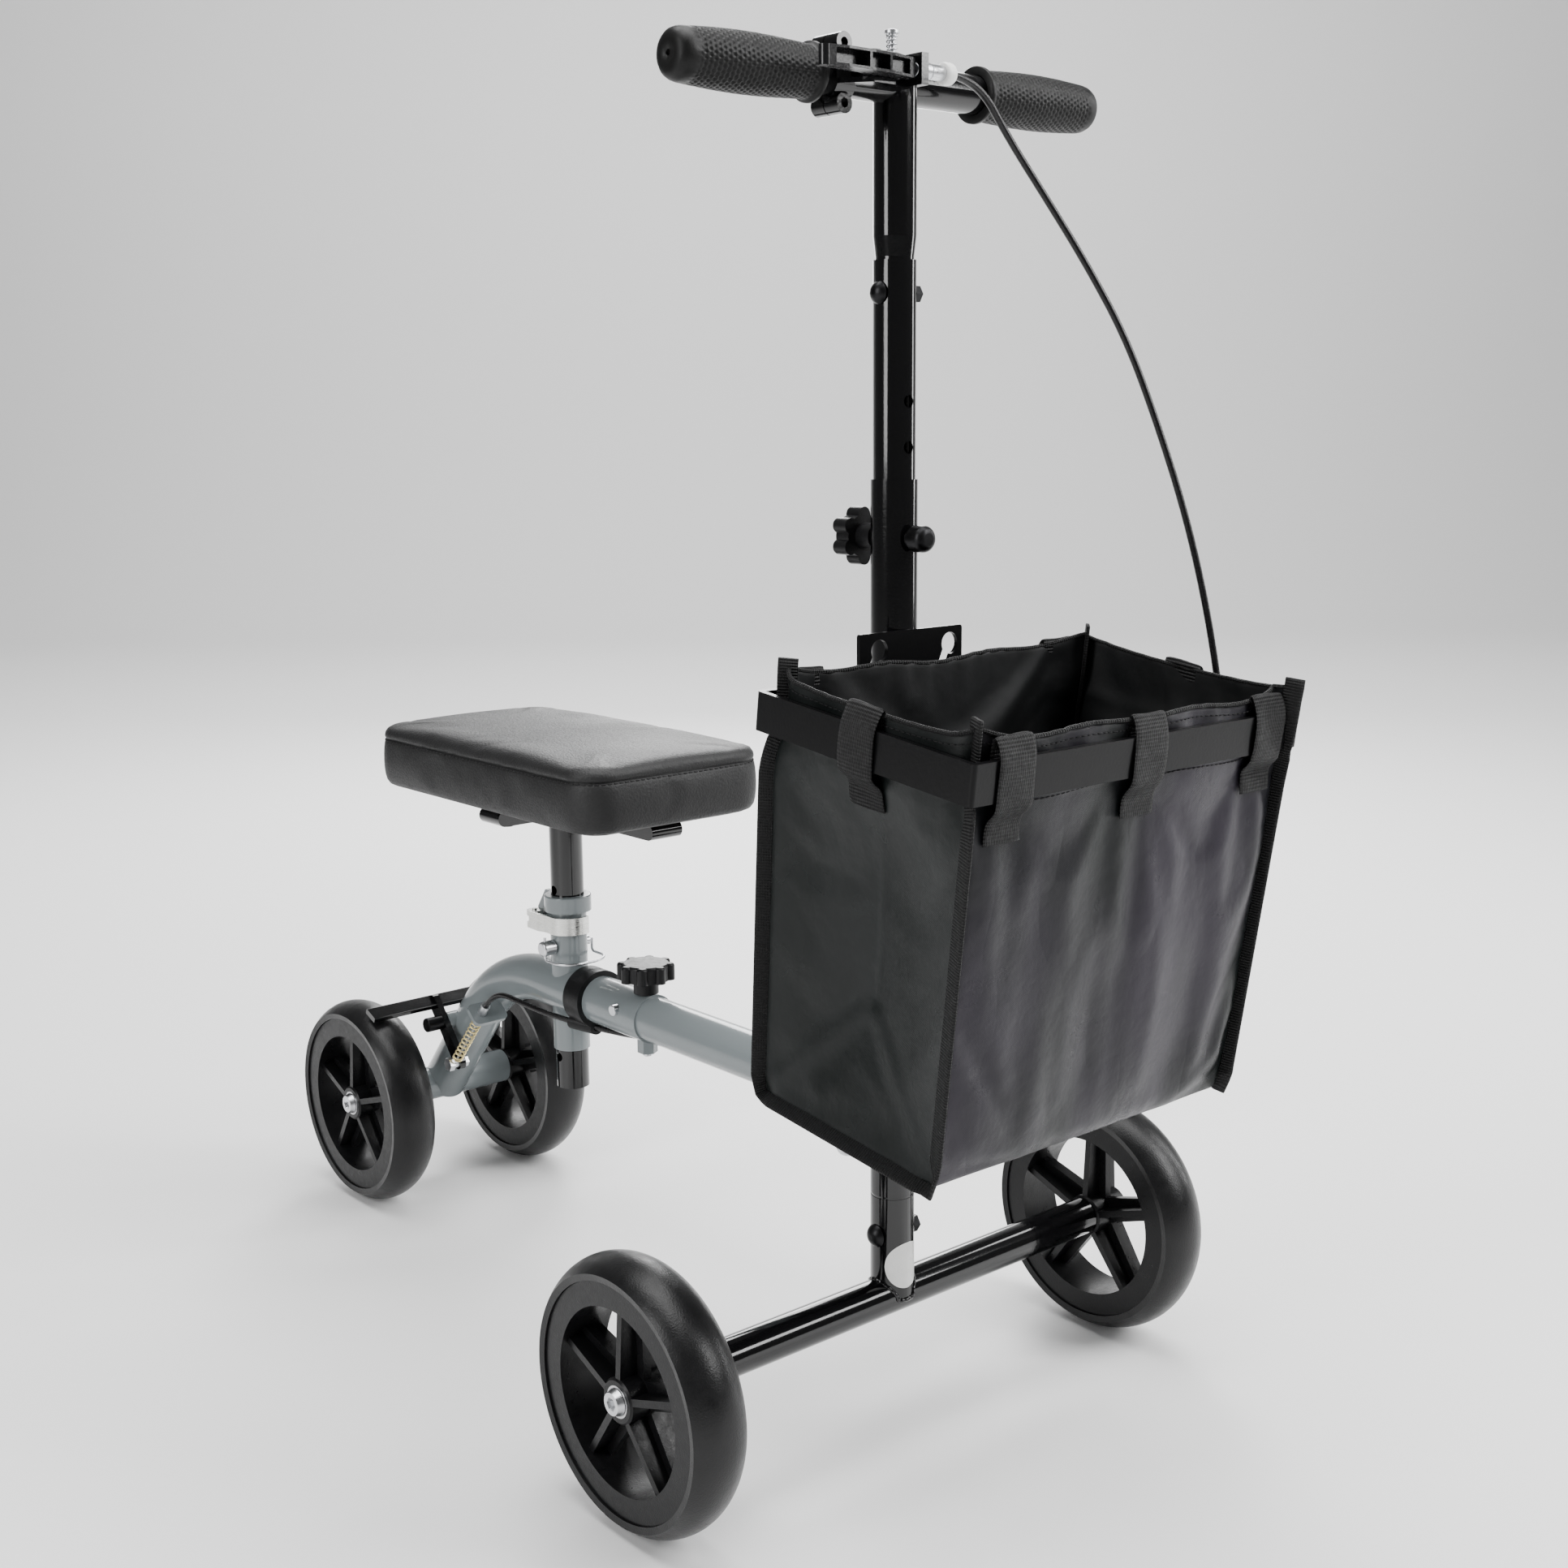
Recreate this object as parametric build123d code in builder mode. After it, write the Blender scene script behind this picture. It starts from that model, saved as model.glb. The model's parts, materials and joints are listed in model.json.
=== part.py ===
from build123d import *
import math
import os

"""Knee scooter: steerable four-wheel frame, height-adjustable knee pad and mast, basket, hand brake.

Frame: +X forward, +Y to the rider's left, +Z up, millimetres.
Origin: on the ground, under the middle of the scooter's length and width.
"""

# ---------------------------------------------------------------- driving dimensions
WHEEL_R = 95.25
WHEELBASE = 631.0
FRONT_X = 249.0
REAR_X = FRONT_X - WHEELBASE
AXLE_Z = WHEEL_R
FRONT_TRACK = 459.0
REAR_TRACK = 167.0

TYRE_HALF = 21.5
HUB_HALF = 18.0
HUB_R = 16.0
BEARING_R = 11.0
BEARING_WIDTH = 7.0
AXLE_BOLT_R = 3.95
RUN_CLEAR = 0.05
SPOKES = 5

COLUMN_R = 15.9
MAST_R = 14.3
COLUMN_BORE_R = MAST_R + 0.08
STUB_TOP_Z = 173.0
COLUMN_TOP_Z = 683.0
MAST_TOP_Z = 825.0
MAST_BOTTOM_Z = 480.0
MAST_LOCK_Z = 644.0
MAST_PITCH = 30.0
BAR_Z = 935.0
BAR_R = 12.7
GRIP_END_Y = 184.5
GRIP_LENGTH = 112.0

STEER_X = FRONT_X - 47.5
HEAD_R = 17.0
TUBE_Z = 237.0
FRAME_R = 20.65
FRAME_BORE_R = 19.15
FRONT_TUBE_R = 19.05
SLEEVE_END_X = FRONT_X - 286.0
BEND_X = FRONT_X - 511.0
BEND_R = 150.0
FRAME_KNOB_X = FRONT_X - 296.0

SEAT_X = FRONT_X - 408.0
SEAT_TUBE_R = 15.9
SEAT_POST_R = 14.3
SEAT_TUBE_BOTTOM_Z = 184.0
SEAT_TUBE_TOP_Z = 322.0
SEAT_POST_BOTTOM_Z = 149.0
SEAT_PIN_Z = 277.0
SEAT_PITCH = 25.0
PAD_LENGTH = 333.0
PAD_WIDTH = 184.4
PAD_BOTTOM_Z = 408.0
PAD_TOP_Z = 463.0

BASKET_LENGTH = 190.0
BASKET_WIDTH = 305.0
BASKET_BAR_TALL = 25.0
BASKET_BAR_THICK = 4.0
BASKET_TILT = 7.0
BASKET_REAR_X = FRONT_X + 36.5
BASKET_REAR_TOP_Z = 558.0

BRAKE_PIVOT = (FRONT_X - 578.0, 172.6)
BRAKE_PINCH = (FRONT_X - 552.0, 139.5)
BRAKE_BAR_RADIUS = 101.0
BRAKE_BAR_ANGLE = 67.8
BRAKE_WIRE_Y = -34.5
CABLE_R = 2.5

os.makedirs("parts", exist_ok=True)


def save(piece, name):
    """Label a finished piece and write its STEP file."""
    piece.label = name
    export_step(piece, "parts/" + name + ".step")


def across(x, y, z):
    """Plane whose normal is +Y, local x to the front and local y down."""
    return Plane(origin=(x, y, z), x_dir=(1, 0, 0), z_dir=(0, 1, 0))


def ahead(x, y, z):
    """Plane whose normal is +X, local x to the left and local y up."""
    return Plane(origin=(x, y, z), x_dir=(0, 1, 0), z_dir=(1, 0, 0))


def level(x, y, z):
    """Plane whose normal is +Z."""
    return Plane(origin=(x, y, z), x_dir=(1, 0, 0), z_dir=(0, 0, 1))


# ---------------------------------------------------------------- wheels
def make_tyre(x, y):
    """Solid tyre: rounded tread, and a bead that sits in the rim's channel."""
    with BuildPart() as tyre:
        with BuildSketch(ahead(x, y, AXLE_Z)):
            with BuildLine():
                Polyline(
                    (-TYRE_HALF, 86),
                    (-TYRE_HALF + 1, 81.2),
                    (-14.7, 81.2),
                    (-14.7, 70),
                    (14.7, 70),
                    (14.7, 81.2),
                    (TYRE_HALF - 1, 81.2),
                    (TYRE_HALF, 86),
                )
                ThreePointArc((TYRE_HALF, 86), (0, WHEEL_R), (-TYRE_HALF, 86))
            make_face()
        revolve(axis=Axis((x, y, AXLE_Z), (0, 1, 0)))
    return tyre.part


def make_rim(x, y):
    """Moulded rim: channel ring, five spokes of crossed ribs, and a hub with bearing pockets."""
    axis = Axis((x, y, AXLE_Z), (0, 1, 0))
    with BuildPart() as rim:
        with BuildSketch(ahead(x, y, AXLE_Z)):
            with BuildLine():
                Polyline(
                    (-19, 64), (19, 64), (19, 81), (14.9, 81), (14.9, 69.8),
                    (-14.9, 69.8), (-14.9, 81), (-19, 81), close=True,
                )
            make_face()
        revolve(axis=axis)
        with BuildSketch(ahead(x, y, AXLE_Z)):
            with BuildLine():
                Polyline((-HUB_HALF, 4.5), (HUB_HALF, 4.5), (HUB_HALF, HUB_R - 1.5),
                         (HUB_HALF - 1.5, HUB_R), (-HUB_HALF + 1.5, HUB_R),
                         (-HUB_HALF, HUB_R - 1.5), close=True)
            make_face()
        revolve(axis=axis)
        for index in range(SPOKES):
            turn = math.radians(90 + index * 360 / SPOKES)
            outward = (math.cos(turn), 0, math.sin(turn))
            fin_plane = Plane(origin=(x, y, AXLE_Z), x_dir=outward, z_dir=(math.sin(turn), 0, -math.cos(turn)))
            with BuildSketch(fin_plane):
                Polygon((13, -17), (65.5, -14), (65.5, 14), (13, 17), align=None)
            extrude(amount=2.6, both=True)
            web_plane = Plane(origin=(x, y - 3, AXLE_Z), x_dir=outward, z_dir=(0, 1, 0))
            with BuildSketch(web_plane):
                Polygon((13, -10), (65.5, -8.5), (65.5, 8.5), (13, 10), align=None)
            extrude(amount=6)
        with BuildSketch(across(x, y - HUB_HALF, AXLE_Z)):
            Circle(BEARING_R)
        extrude(amount=BEARING_WIDTH, mode=Mode.SUBTRACT)
        with BuildSketch(across(x, y + HUB_HALF - BEARING_WIDTH, AXLE_Z)):
            Circle(BEARING_R)
        extrude(amount=BEARING_WIDTH, mode=Mode.SUBTRACT)
        with BuildSketch(across(x, y - HUB_HALF, AXLE_Z)):
            Circle(8)
        extrude(amount=2 * HUB_HALF, mode=Mode.SUBTRACT)
    return rim.part


def make_bearings(x, y):
    """The two sealed ball bearings of one hub."""
    with BuildPart() as bearings:
        for start in (y - HUB_HALF, y + HUB_HALF - BEARING_WIDTH):
            with BuildSketch(across(x, start, AXLE_Z)):
                Circle(BEARING_R)
                Circle(AXLE_BOLT_R + RUN_CLEAR, mode=Mode.SUBTRACT)
            extrude(amount=BEARING_WIDTH)
    return bearings.part


def make_axle_bolts(x, track):
    """The two button-head axle bolts of one axle, from outside each hub into the axle tube."""
    with BuildPart() as bolts:
        for side in (-1, 1):
            outer = side * (track / 2 + HUB_HALF + 0.4)
            inner = side * (track / 2 - HUB_HALF - 19)
            with BuildSketch(Plane(origin=(x, inner, AXLE_Z), x_dir=(1, 0, 0), z_dir=(0, side, 0))):
                Circle(AXLE_BOLT_R)
            extrude(amount=abs(outer - inner))
            with BuildSketch(Plane(origin=(x, outer, AXLE_Z), x_dir=(1, 0, 0), z_dir=(0, side, 0))):
                Circle(9.5)
                RegularPolygon(2.9, 6, mode=Mode.SUBTRACT)
            extrude(amount=4.4, taper=22)
    return bolts.part


for end_name, axle_x, track in (("front", FRONT_X, FRONT_TRACK), ("rear", REAR_X, REAR_TRACK)):
    for side_name, side in (("left", 1), ("right", -1)):
        wheel_y = side * track / 2
        save(make_tyre(axle_x, wheel_y), end_name + "_tyre_" + side_name)
        save(make_rim(axle_x, wheel_y), end_name + "_rim_" + side_name)
        save(make_bearings(axle_x, wheel_y), end_name + "_bearings_" + side_name)
    save(make_axle_bolts(axle_x, track), end_name + "_axle_bolts")


# ---------------------------------------------------------------- rear frame
REAR_AXLE_HALF = REAR_TRACK / 2 - HUB_HALF - 1
FRONT_AXLE_HALF = FRONT_TRACK / 2 - HUB_HALF - 1
PLUG_LENGTH = 22.0

with BuildPart() as rear_axle_tube:
    with BuildSketch(across(REAR_X, -REAR_AXLE_HALF, AXLE_Z)):
        Circle(COLUMN_R)
        Circle(COLUMN_R - 1.6, mode=Mode.SUBTRACT)
    extrude(amount=2 * REAR_AXLE_HALF)
    for plug_y in (-REAR_AXLE_HALF, REAR_AXLE_HALF - PLUG_LENGTH):
        with BuildSketch(across(REAR_X, plug_y, AXLE_Z)):
            Circle(COLUMN_R - 1)
            Circle(AXLE_BOLT_R, mode=Mode.SUBTRACT)
        extrude(amount=PLUG_LENGTH)
save(rear_axle_tube.part, "rear_axle_tube")

with BuildPart() as rear_main_tube:
    with BuildLine(Plane.XZ):
        FilletPolyline((SLEEVE_END_X, TUBE_Z), (BEND_X, TUBE_Z), (REAR_X, AXLE_Z), radius=BEND_R)
    with BuildSketch(ahead(SLEEVE_END_X, 0, TUBE_Z)):
        Circle(FRAME_R)
        Circle(FRAME_BORE_R, mode=Mode.SUBTRACT)
    sweep()
    with BuildSketch(across(REAR_X, -30, AXLE_Z)):
        Circle(COLUMN_R)
    extrude(amount=60, mode=Mode.SUBTRACT)
    with BuildSketch(level(SEAT_X, 0, SEAT_TUBE_BOTTOM_Z)):
        Circle(SEAT_TUBE_R)
    extrude(amount=120, mode=Mode.SUBTRACT)
    with BuildSketch(level(FRAME_KNOB_X, 0, TUBE_Z - 40)):
        Circle(4.3)
    extrude(amount=80, mode=Mode.SUBTRACT)
save(rear_main_tube.part, "rear_main_tube")

with BuildPart() as seat_tube:
    with BuildSketch(level(SEAT_X, 0, SEAT_TUBE_BOTTOM_Z)):
        Circle(SEAT_TUBE_R)
        Circle(SEAT_POST_R + 0.08, mode=Mode.SUBTRACT)
    extrude(amount=SEAT_TUBE_TOP_Z - SEAT_TUBE_BOTTOM_Z)
    with BuildSketch(across(SEAT_X, -25, SEAT_PIN_Z)):
        Circle(4.15)
    extrude(amount=50, mode=Mode.SUBTRACT)
    with BuildSketch(level(SEAT_X - 15, 0, SEAT_TUBE_TOP_Z - 30)):
        Rectangle(12, 2.4)
    extrude(amount=30, mode=Mode.SUBTRACT)
save(seat_tube.part, "seat_tube")

# welded collar with two ears; the quick-release bolt draws the ears together
COLLAR_BASE_Z = SEAT_TUBE_TOP_Z - 14
CLAMP_X = SEAT_X - 30
CLAMP_Z = 297.0
STRAP_TALL = 15.0
with BuildPart() as seat_clamp_collar:
    with BuildSketch(level(SEAT_X, 0, COLLAR_BASE_Z)):
        Circle(20.4)
    extrude(amount=14)
    fillet(seat_clamp_collar.edges().group_by(Axis.Z)[-1], 1.2)
    for side in (-1, 1):
        with BuildSketch(across(CLAMP_X, side * 3.7 - 2.2, CLAMP_Z)):
            with BuildLine():
                Polyline((0, 8), (13, 8), (18, -25), (4, -25), (-8, -8), (-8, 0))
                RadiusArc((-8, 0), (0, 8), 8)
            make_face()
            Circle(3.05, mode=Mode.SUBTRACT)
        extrude(amount=4.4)
    with BuildSketch(level(SEAT_X, 0, CLAMP_Z - 20)):
        Circle(SEAT_TUBE_R)
    extrude(amount=60, mode=Mode.SUBTRACT)
    with BuildSketch(level(SEAT_X - 22, 0, COLLAR_BASE_Z - 1)):
        Rectangle(16, 2.4)
    extrude(amount=20, mode=Mode.SUBTRACT)
save(seat_clamp_collar.part, "seat_clamp_collar")

# clamp bolt: domed nut on the left, round eye inside the lever's fork on the right
CAM_Y = -14.5
CAM_R = 7.2
with BuildPart() as seat_clamp_bolt:
    with BuildSketch(across(CLAMP_X, CAM_Y, CLAMP_Z)):
        Circle(3)
    extrude(amount=26)
    with BuildSketch(across(CLAMP_X, 6.1, CLAMP_Z)):
        Circle(6)
    extrude(amount=7)
    fillet(seat_clamp_bolt.edges().group_by(Axis.Y)[-1], 1.5)
    with BuildSketch(level(CLAMP_X, CAM_Y, CLAMP_Z - 3)):
        Circle(5.6)
    extrude(amount=6)
    with BuildSketch(level(CLAMP_X, CAM_Y, CLAMP_Z - 10)):
        Circle(2.1)
    extrude(amount=20, mode=Mode.SUBTRACT)
save(seat_clamp_bolt.part, "seat_clamp_bolt")

# quick-release lever: cam fork on a vertical pin, and a flat strap curved round the seat tube
STRAP_R = 20.2
STRAP_THICK = 3.0
with BuildPart() as seat_clamp_lever:
    with BuildSketch(level(CLAMP_X, CAM_Y, CLAMP_Z - STRAP_TALL / 2)):
        Circle(CAM_R)
        start_y = CAM_Y - CAM_R + STRAP_THICK / 2
        with BuildLine():
            tail = Line((0, start_y - CAM_Y), (14, start_y - CAM_Y - 0.6))
            touch = math.radians(-112)
            middle = math.radians(-65)
            near = math.radians(-22)
            finish = math.radians(20)
            shift_x = SEAT_X - CLAMP_X
            Spline(
                tail @ 1,
                (shift_x + STRAP_R * math.cos(touch), STRAP_R * math.sin(touch) - CAM_Y),
                (shift_x + STRAP_R * math.cos(middle), STRAP_R * math.sin(middle) - CAM_Y),
                (shift_x + STRAP_R * math.cos(near), STRAP_R * math.sin(near) - CAM_Y),
                (shift_x + STRAP_R * math.cos(finish), STRAP_R * math.sin(finish) - CAM_Y),
                tangents=((1, -0.05), (math.cos(finish + math.pi / 2), math.sin(finish + math.pi / 2))),
            )
        trace(line_width=STRAP_THICK)
    extrude(amount=STRAP_TALL)
    with BuildSketch(level(CLAMP_X, CAM_Y, CLAMP_Z - 3.1)):
        Circle(CAM_R + 0.1)
    extrude(amount=6.2, mode=Mode.SUBTRACT)
    with BuildSketch(level(CLAMP_X, CAM_Y, CLAMP_Z - STRAP_TALL / 2 - 1.5)):
        Circle(2)
    extrude(amount=STRAP_TALL + 3)
save(seat_clamp_lever.part, "seat_clamp_lever")

with BuildPart() as seat_lock_pin:
    with BuildSketch(across(SEAT_X, -29, SEAT_PIN_Z)):
        Circle(6.5)
    extrude(amount=12)
    fillet(seat_lock_pin.edges().group_by(Axis.Y)[0], 2)
    with BuildSketch(across(SEAT_X, -17.2, SEAT_PIN_Z)):
        Circle(4)
    extrude(amount=37.2)
    with BuildSketch(level(SEAT_X, -25, SEAT_PIN_Z - 10)):
        Circle(1.35)
    extrude(amount=20, mode=Mode.SUBTRACT)
save(seat_lock_pin.part, "seat_lock_pin")

# wire bail: pivots in the pin's head and hooks in front of the pin's tip
BAIL_Z = SEAT_PIN_Z - 10.5
with BuildPart() as seat_pin_bail:
    with BuildLine():
        FilletPolyline(
            (SEAT_X, -25, BAIL_Z + 20),
            (SEAT_X, -25, BAIL_Z),
            (SEAT_X + 30, -25, BAIL_Z),
            (SEAT_X + 30, 24, BAIL_Z),
            (SEAT_X, 24, BAIL_Z),
            (SEAT_X, 24, BAIL_Z + 12),
            radius=(3.5, 18, 18, 3.5),
        )
    with BuildSketch(level(SEAT_X, -25, BAIL_Z + 20)):
        Circle(1.2)
    sweep()
save(seat_pin_bail.part, "seat_pin_bail")

BOSS_Z = TUBE_Z - FRAME_R - 10
with BuildPart() as tube_lock_nut:
    with BuildSketch(level(FRAME_KNOB_X, 0, BOSS_Z)):
        RegularPolygon(8.5, 6)
        Circle(4.05, mode=Mode.SUBTRACT)
    extrude(amount=16)
    with BuildSketch(ahead(FRAME_KNOB_X - 20, 0, TUBE_Z)):
        Circle(FRAME_R)
    extrude(amount=40, mode=Mode.SUBTRACT)
save(tube_lock_nut.part, "tube_lock_nut")

# the small screw that stops the inner tube turning in the sleeve
with BuildPart() as sleeve_screw:
    with BuildSketch(across(FRONT_X - 313, -FRAME_R - 3.2, TUBE_Z + 6)):
        Circle(4.6)
    extrude(amount=8)
    fillet(sleeve_screw.edges().group_by(Axis.Y)[0], 1)
    with BuildSketch(ahead(FRONT_X - 330, 0, TUBE_Z)):
        Circle(FRAME_R)
    extrude(amount=30, mode=Mode.SUBTRACT)
save(sleeve_screw.part, "sleeve_screw")

# ---------------------------------------------------------------- frame clamp knob
with BuildPart() as frame_knob:
    with BuildSketch(level(FRAME_KNOB_X, 0, TUBE_Z + FRAME_R + 0.3)):
        Circle(10.5)
    extrude(amount=12)
    with BuildSketch(level(FRAME_KNOB_X, 0, TUBE_Z + FRAME_R + 12)):
        Circle(20)
        with PolarLocations(19.5, 8):
            Circle(4.6)
    extrude(amount=14)
    fillet(frame_knob.edges().group_by(Axis.Z)[-1], 2.5)
    with BuildSketch(level(FRAME_KNOB_X, 0, TUBE_Z + FRAME_R)):
        Circle(4)
    extrude(amount=20, mode=Mode.SUBTRACT)
save(frame_knob.part, "frame_knob")

with BuildPart() as frame_knob_stud:
    with BuildSketch(level(FRAME_KNOB_X, 0, BOSS_Z - 3.5)):
        Circle(4)
    extrude(amount=TUBE_Z + FRAME_R + 20 - BOSS_Z + 3.5)
    chamfer(frame_knob_stud.edges().group_by(Axis.Z)[0], 1)
save(frame_knob_stud.part, "frame_knob_stud")

# ---------------------------------------------------------------- front frame
with BuildPart() as front_main_tube:
    with BuildSketch(ahead(SLEEVE_END_X - 92, 0, TUBE_Z)):
        Circle(FRONT_TUBE_R)
        Circle(FRONT_TUBE_R - 1.6, mode=Mode.SUBTRACT)
    extrude(amount=STEER_X - SLEEVE_END_X + 92)
    with BuildSketch(level(STEER_X, 0, TUBE_Z - 30)):
        Circle(HEAD_R)
    extrude(amount=60, mode=Mode.SUBTRACT)
    with BuildSketch(level(FRAME_KNOB_X, 0, TUBE_Z - 40)):
        Circle(4.3)
    extrude(amount=80, mode=Mode.SUBTRACT)
    with BuildSketch(level(STEER_X, 0, TUBE_Z - 23.5)):
        Circle(HEAD_R)
        Circle(HEAD_R - 2, mode=Mode.SUBTRACT)
    extrude(amount=47)
save(front_main_tube.part, "front_main_tube")

STEER_BOLT_R = 6.0
with BuildPart() as head_bushes:
    for base, rise in ((TUBE_Z - 23.5, 1), (TUBE_Z + 23.5, -1)):
        with BuildSketch(Plane(origin=(STEER_X, 0, base), x_dir=(1, 0, 0), z_dir=(0, 0, rise))):
            Circle(HEAD_R - 2)
            Circle(STEER_BOLT_R + RUN_CLEAR, mode=Mode.SUBTRACT)
        extrude(amount=12)
        with BuildSketch(Plane(origin=(STEER_X, 0, base), x_dir=(1, 0, 0), z_dir=(0, 0, -rise))):
            Circle(HEAD_R)
            Circle(STEER_BOLT_R + RUN_CLEAR, mode=Mode.SUBTRACT)
        extrude(amount=2)
save(head_bushes.part, "head_bushes")

# ---------------------------------------------------------------- steering column
TAB_THICK = 6.0
TAB_LOWER_Z = TUBE_Z - 25.8 - TAB_THICK
TAB_UPPER_Z = TUBE_Z + 25.8
with BuildPart() as steering_tabs:
    for tab_z in (TAB_LOWER_Z, TAB_UPPER_Z):
        with BuildSketch(level(STEER_X, 0, tab_z)):
            Circle(19)
            with Locations((24, 0)):
                Rectangle(48, 32)
            with Locations((FRONT_X - STEER_X, 0)):
                Circle(COLUMN_R, mode=Mode.SUBTRACT)
            Circle(STEER_BOLT_R, mode=Mode.SUBTRACT)
            with Locations((FRONT_X - STEER_X + 10, 0)):
                Rectangle(20, 40, mode=Mode.SUBTRACT)
        extrude(amount=TAB_THICK)
save(steering_tabs.part, "steering_tabs")

with BuildPart() as steering_bolt:
    with BuildSketch(level(STEER_X, 0, TAB_LOWER_Z - 14)):
        Circle(STEER_BOLT_R)
    extrude(amount=TAB_UPPER_Z + TAB_THICK - TAB_LOWER_Z + 14)
    with BuildSketch(level(STEER_X, 0, TAB_UPPER_Z + TAB_THICK)):
        RegularPolygon(11, 6)
    extrude(amount=8)
    with BuildSketch(level(STEER_X, 0, TAB_LOWER_Z - 9)):
        RegularPolygon(10.5, 6)
    extrude(amount=9)
    with BuildSketch(level(STEER_X, 0, TAB_LOWER_Z - 17)):
        Circle(8.6)
    extrude(amount=9)
    fillet(steering_bolt.edges().group_by(Axis.Z)[0], 6)
save(steering_bolt.part, "steering_bolt")

AXLE_TUBE_R = 14.3
with BuildPart() as front_axle:
    with BuildSketch(across(FRONT_X, -FRONT_AXLE_HALF, AXLE_Z)):
        Circle(AXLE_TUBE_R)
    extrude(amount=2 * FRONT_AXLE_HALF)
    with BuildSketch(level(FRONT_X, 0, AXLE_Z)):
        Circle(COLUMN_R)
    extrude(amount=STUB_TOP_Z - AXLE_Z)
    with BuildSketch(across(FRONT_X, -FRONT_AXLE_HALF, AXLE_Z)):
        Circle(AXLE_BOLT_R)
    extrude(amount=PLUG_LENGTH, mode=Mode.SUBTRACT)
    with BuildSketch(across(FRONT_X, FRONT_AXLE_HALF - PLUG_LENGTH, AXLE_Z)):
        Circle(AXLE_BOLT_R)
    extrude(amount=PLUG_LENGTH, mode=Mode.SUBTRACT)
    with BuildSketch(across(FRONT_X, -FRONT_AXLE_HALF + PLUG_LENGTH, AXLE_Z)):
        Circle(AXLE_TUBE_R - 1.6)
    extrude(amount=2 * (FRONT_AXLE_HALF - PLUG_LENGTH), mode=Mode.SUBTRACT)
    with BuildSketch(level(FRONT_X, 0, AXLE_Z + AXLE_TUBE_R + 4)):
        Circle(MAST_R)
    extrude(amount=STUB_TOP_Z, mode=Mode.SUBTRACT)
    with BuildSketch(across(FRONT_X, -25, STUB_TOP_Z - 29)):
        Circle(4)
    extrude(amount=50, mode=Mode.SUBTRACT)
save(front_axle.part, "front_axle")

# the column's lower end is swaged down to fit inside the axle's stub
with BuildPart() as column_tube:
    with BuildSketch(ahead(FRONT_X, 0, 0)):
        with BuildLine():
            Polyline(
                (COLUMN_BORE_R - 1.8, 118),
                (MAST_R, 118),
                (MAST_R, STUB_TOP_Z),
                (COLUMN_R - 0.3, STUB_TOP_Z),
                (COLUMN_R - 0.3, STUB_TOP_Z + 0.7),
                (COLUMN_R, STUB_TOP_Z + 2),
                (COLUMN_R, COLUMN_TOP_Z),
                (COLUMN_BORE_R, COLUMN_TOP_Z),
                (COLUMN_BORE_R, STUB_TOP_Z + 14),
                (COLUMN_BORE_R - 1.8, STUB_TOP_Z + 6),
                close=True,
            )
        make_face()
    revolve(axis=Axis((FRONT_X, 0, 0), (0, 0, 1)))
    with BuildSketch(across(FRONT_X, -25, STUB_TOP_Z - 29)):
        Circle(4)
    extrude(amount=50, mode=Mode.SUBTRACT)
    with BuildSketch(ahead(FRONT_X - 25, 0, MAST_LOCK_Z)):
        Circle(4.15)
    extrude(amount=50, mode=Mode.SUBTRACT)
save(column_tube.part, "column_tube")


def make_cross_bolt(z, tube_r, radius, dome_r, nut_r):
    """Carriage bolt across the column: dome on the rider's right, nut on the left."""
    with BuildPart() as bolt:
        with BuildSketch(ahead(FRONT_X, -tube_r - 0.4, z)):
            with BuildLine():
                Line((0, 0), (0, dome_r))
                ThreePointArc((0, dome_r), (-dome_r * 0.43, dome_r * 0.65), (-dome_r * 0.62, dome_r * 0.2))
                Polyline((-dome_r * 0.62, dome_r * 0.2), (-dome_r * 0.62, 0), (0, 0))
            make_face()
        revolve(axis=Axis((FRONT_X, 0, z), (0, 1, 0)))
        with BuildSketch(across(FRONT_X, -tube_r - 1, z)):
            Circle(radius)
        extrude(amount=2 * tube_r + 8.5)
        with BuildSketch(across(FRONT_X, tube_r + 0.4, z)):
            RegularPolygon(nut_r, 6)
        extrude(amount=6)
    return bolt.part


save(make_cross_bolt(STUB_TOP_Z - 29, COLUMN_R, 4, 8.5, 7), "stub_bolt")

# keyhole plate on the column's front: two slots that slant down to the rider's right
PLATE_BACK_X = FRONT_X + 14.9
PLATE_THICK = 3.0
PLATE_TOP_Z = 583.0
KEY_TOP_Z = 571.0
PEG_Z = 550.0
KEY_SHIFT = 10.0
PEG_YS = (-40.0, 26.0)
with BuildPart() as keyhole_plate:
    with BuildSketch(ahead(PLATE_BACK_X, 0, PLATE_TOP_Z - 32)):
        Rectangle(96, 64)
        for peg_y in PEG_YS:
            low = (peg_y, PEG_Z - PLATE_TOP_Z + 32)
            high = (peg_y + KEY_SHIFT, KEY_TOP_Z - PLATE_TOP_Z + 32)
            SlotCenterPoint(
                ((low[0] + high[0]) / 2, (low[1] + high[1]) / 2), high, 8.8, mode=Mode.SUBTRACT
            )
            with Locations(high):
                Circle(7.6, mode=Mode.SUBTRACT)
    extrude(amount=PLATE_THICK)
    fillet(keyhole_plate.edges().filter_by(Axis.X).group_by(Axis.Y)[0], 2)
    fillet(keyhole_plate.edges().filter_by(Axis.X).group_by(Axis.Y)[-1], 2)
    with BuildSketch(level(FRONT_X, 0, PLATE_TOP_Z - 80)):
        Circle(COLUMN_R)
    extrude(amount=100, mode=Mode.SUBTRACT)
save(keyhole_plate.part, "keyhole_plate")

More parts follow.
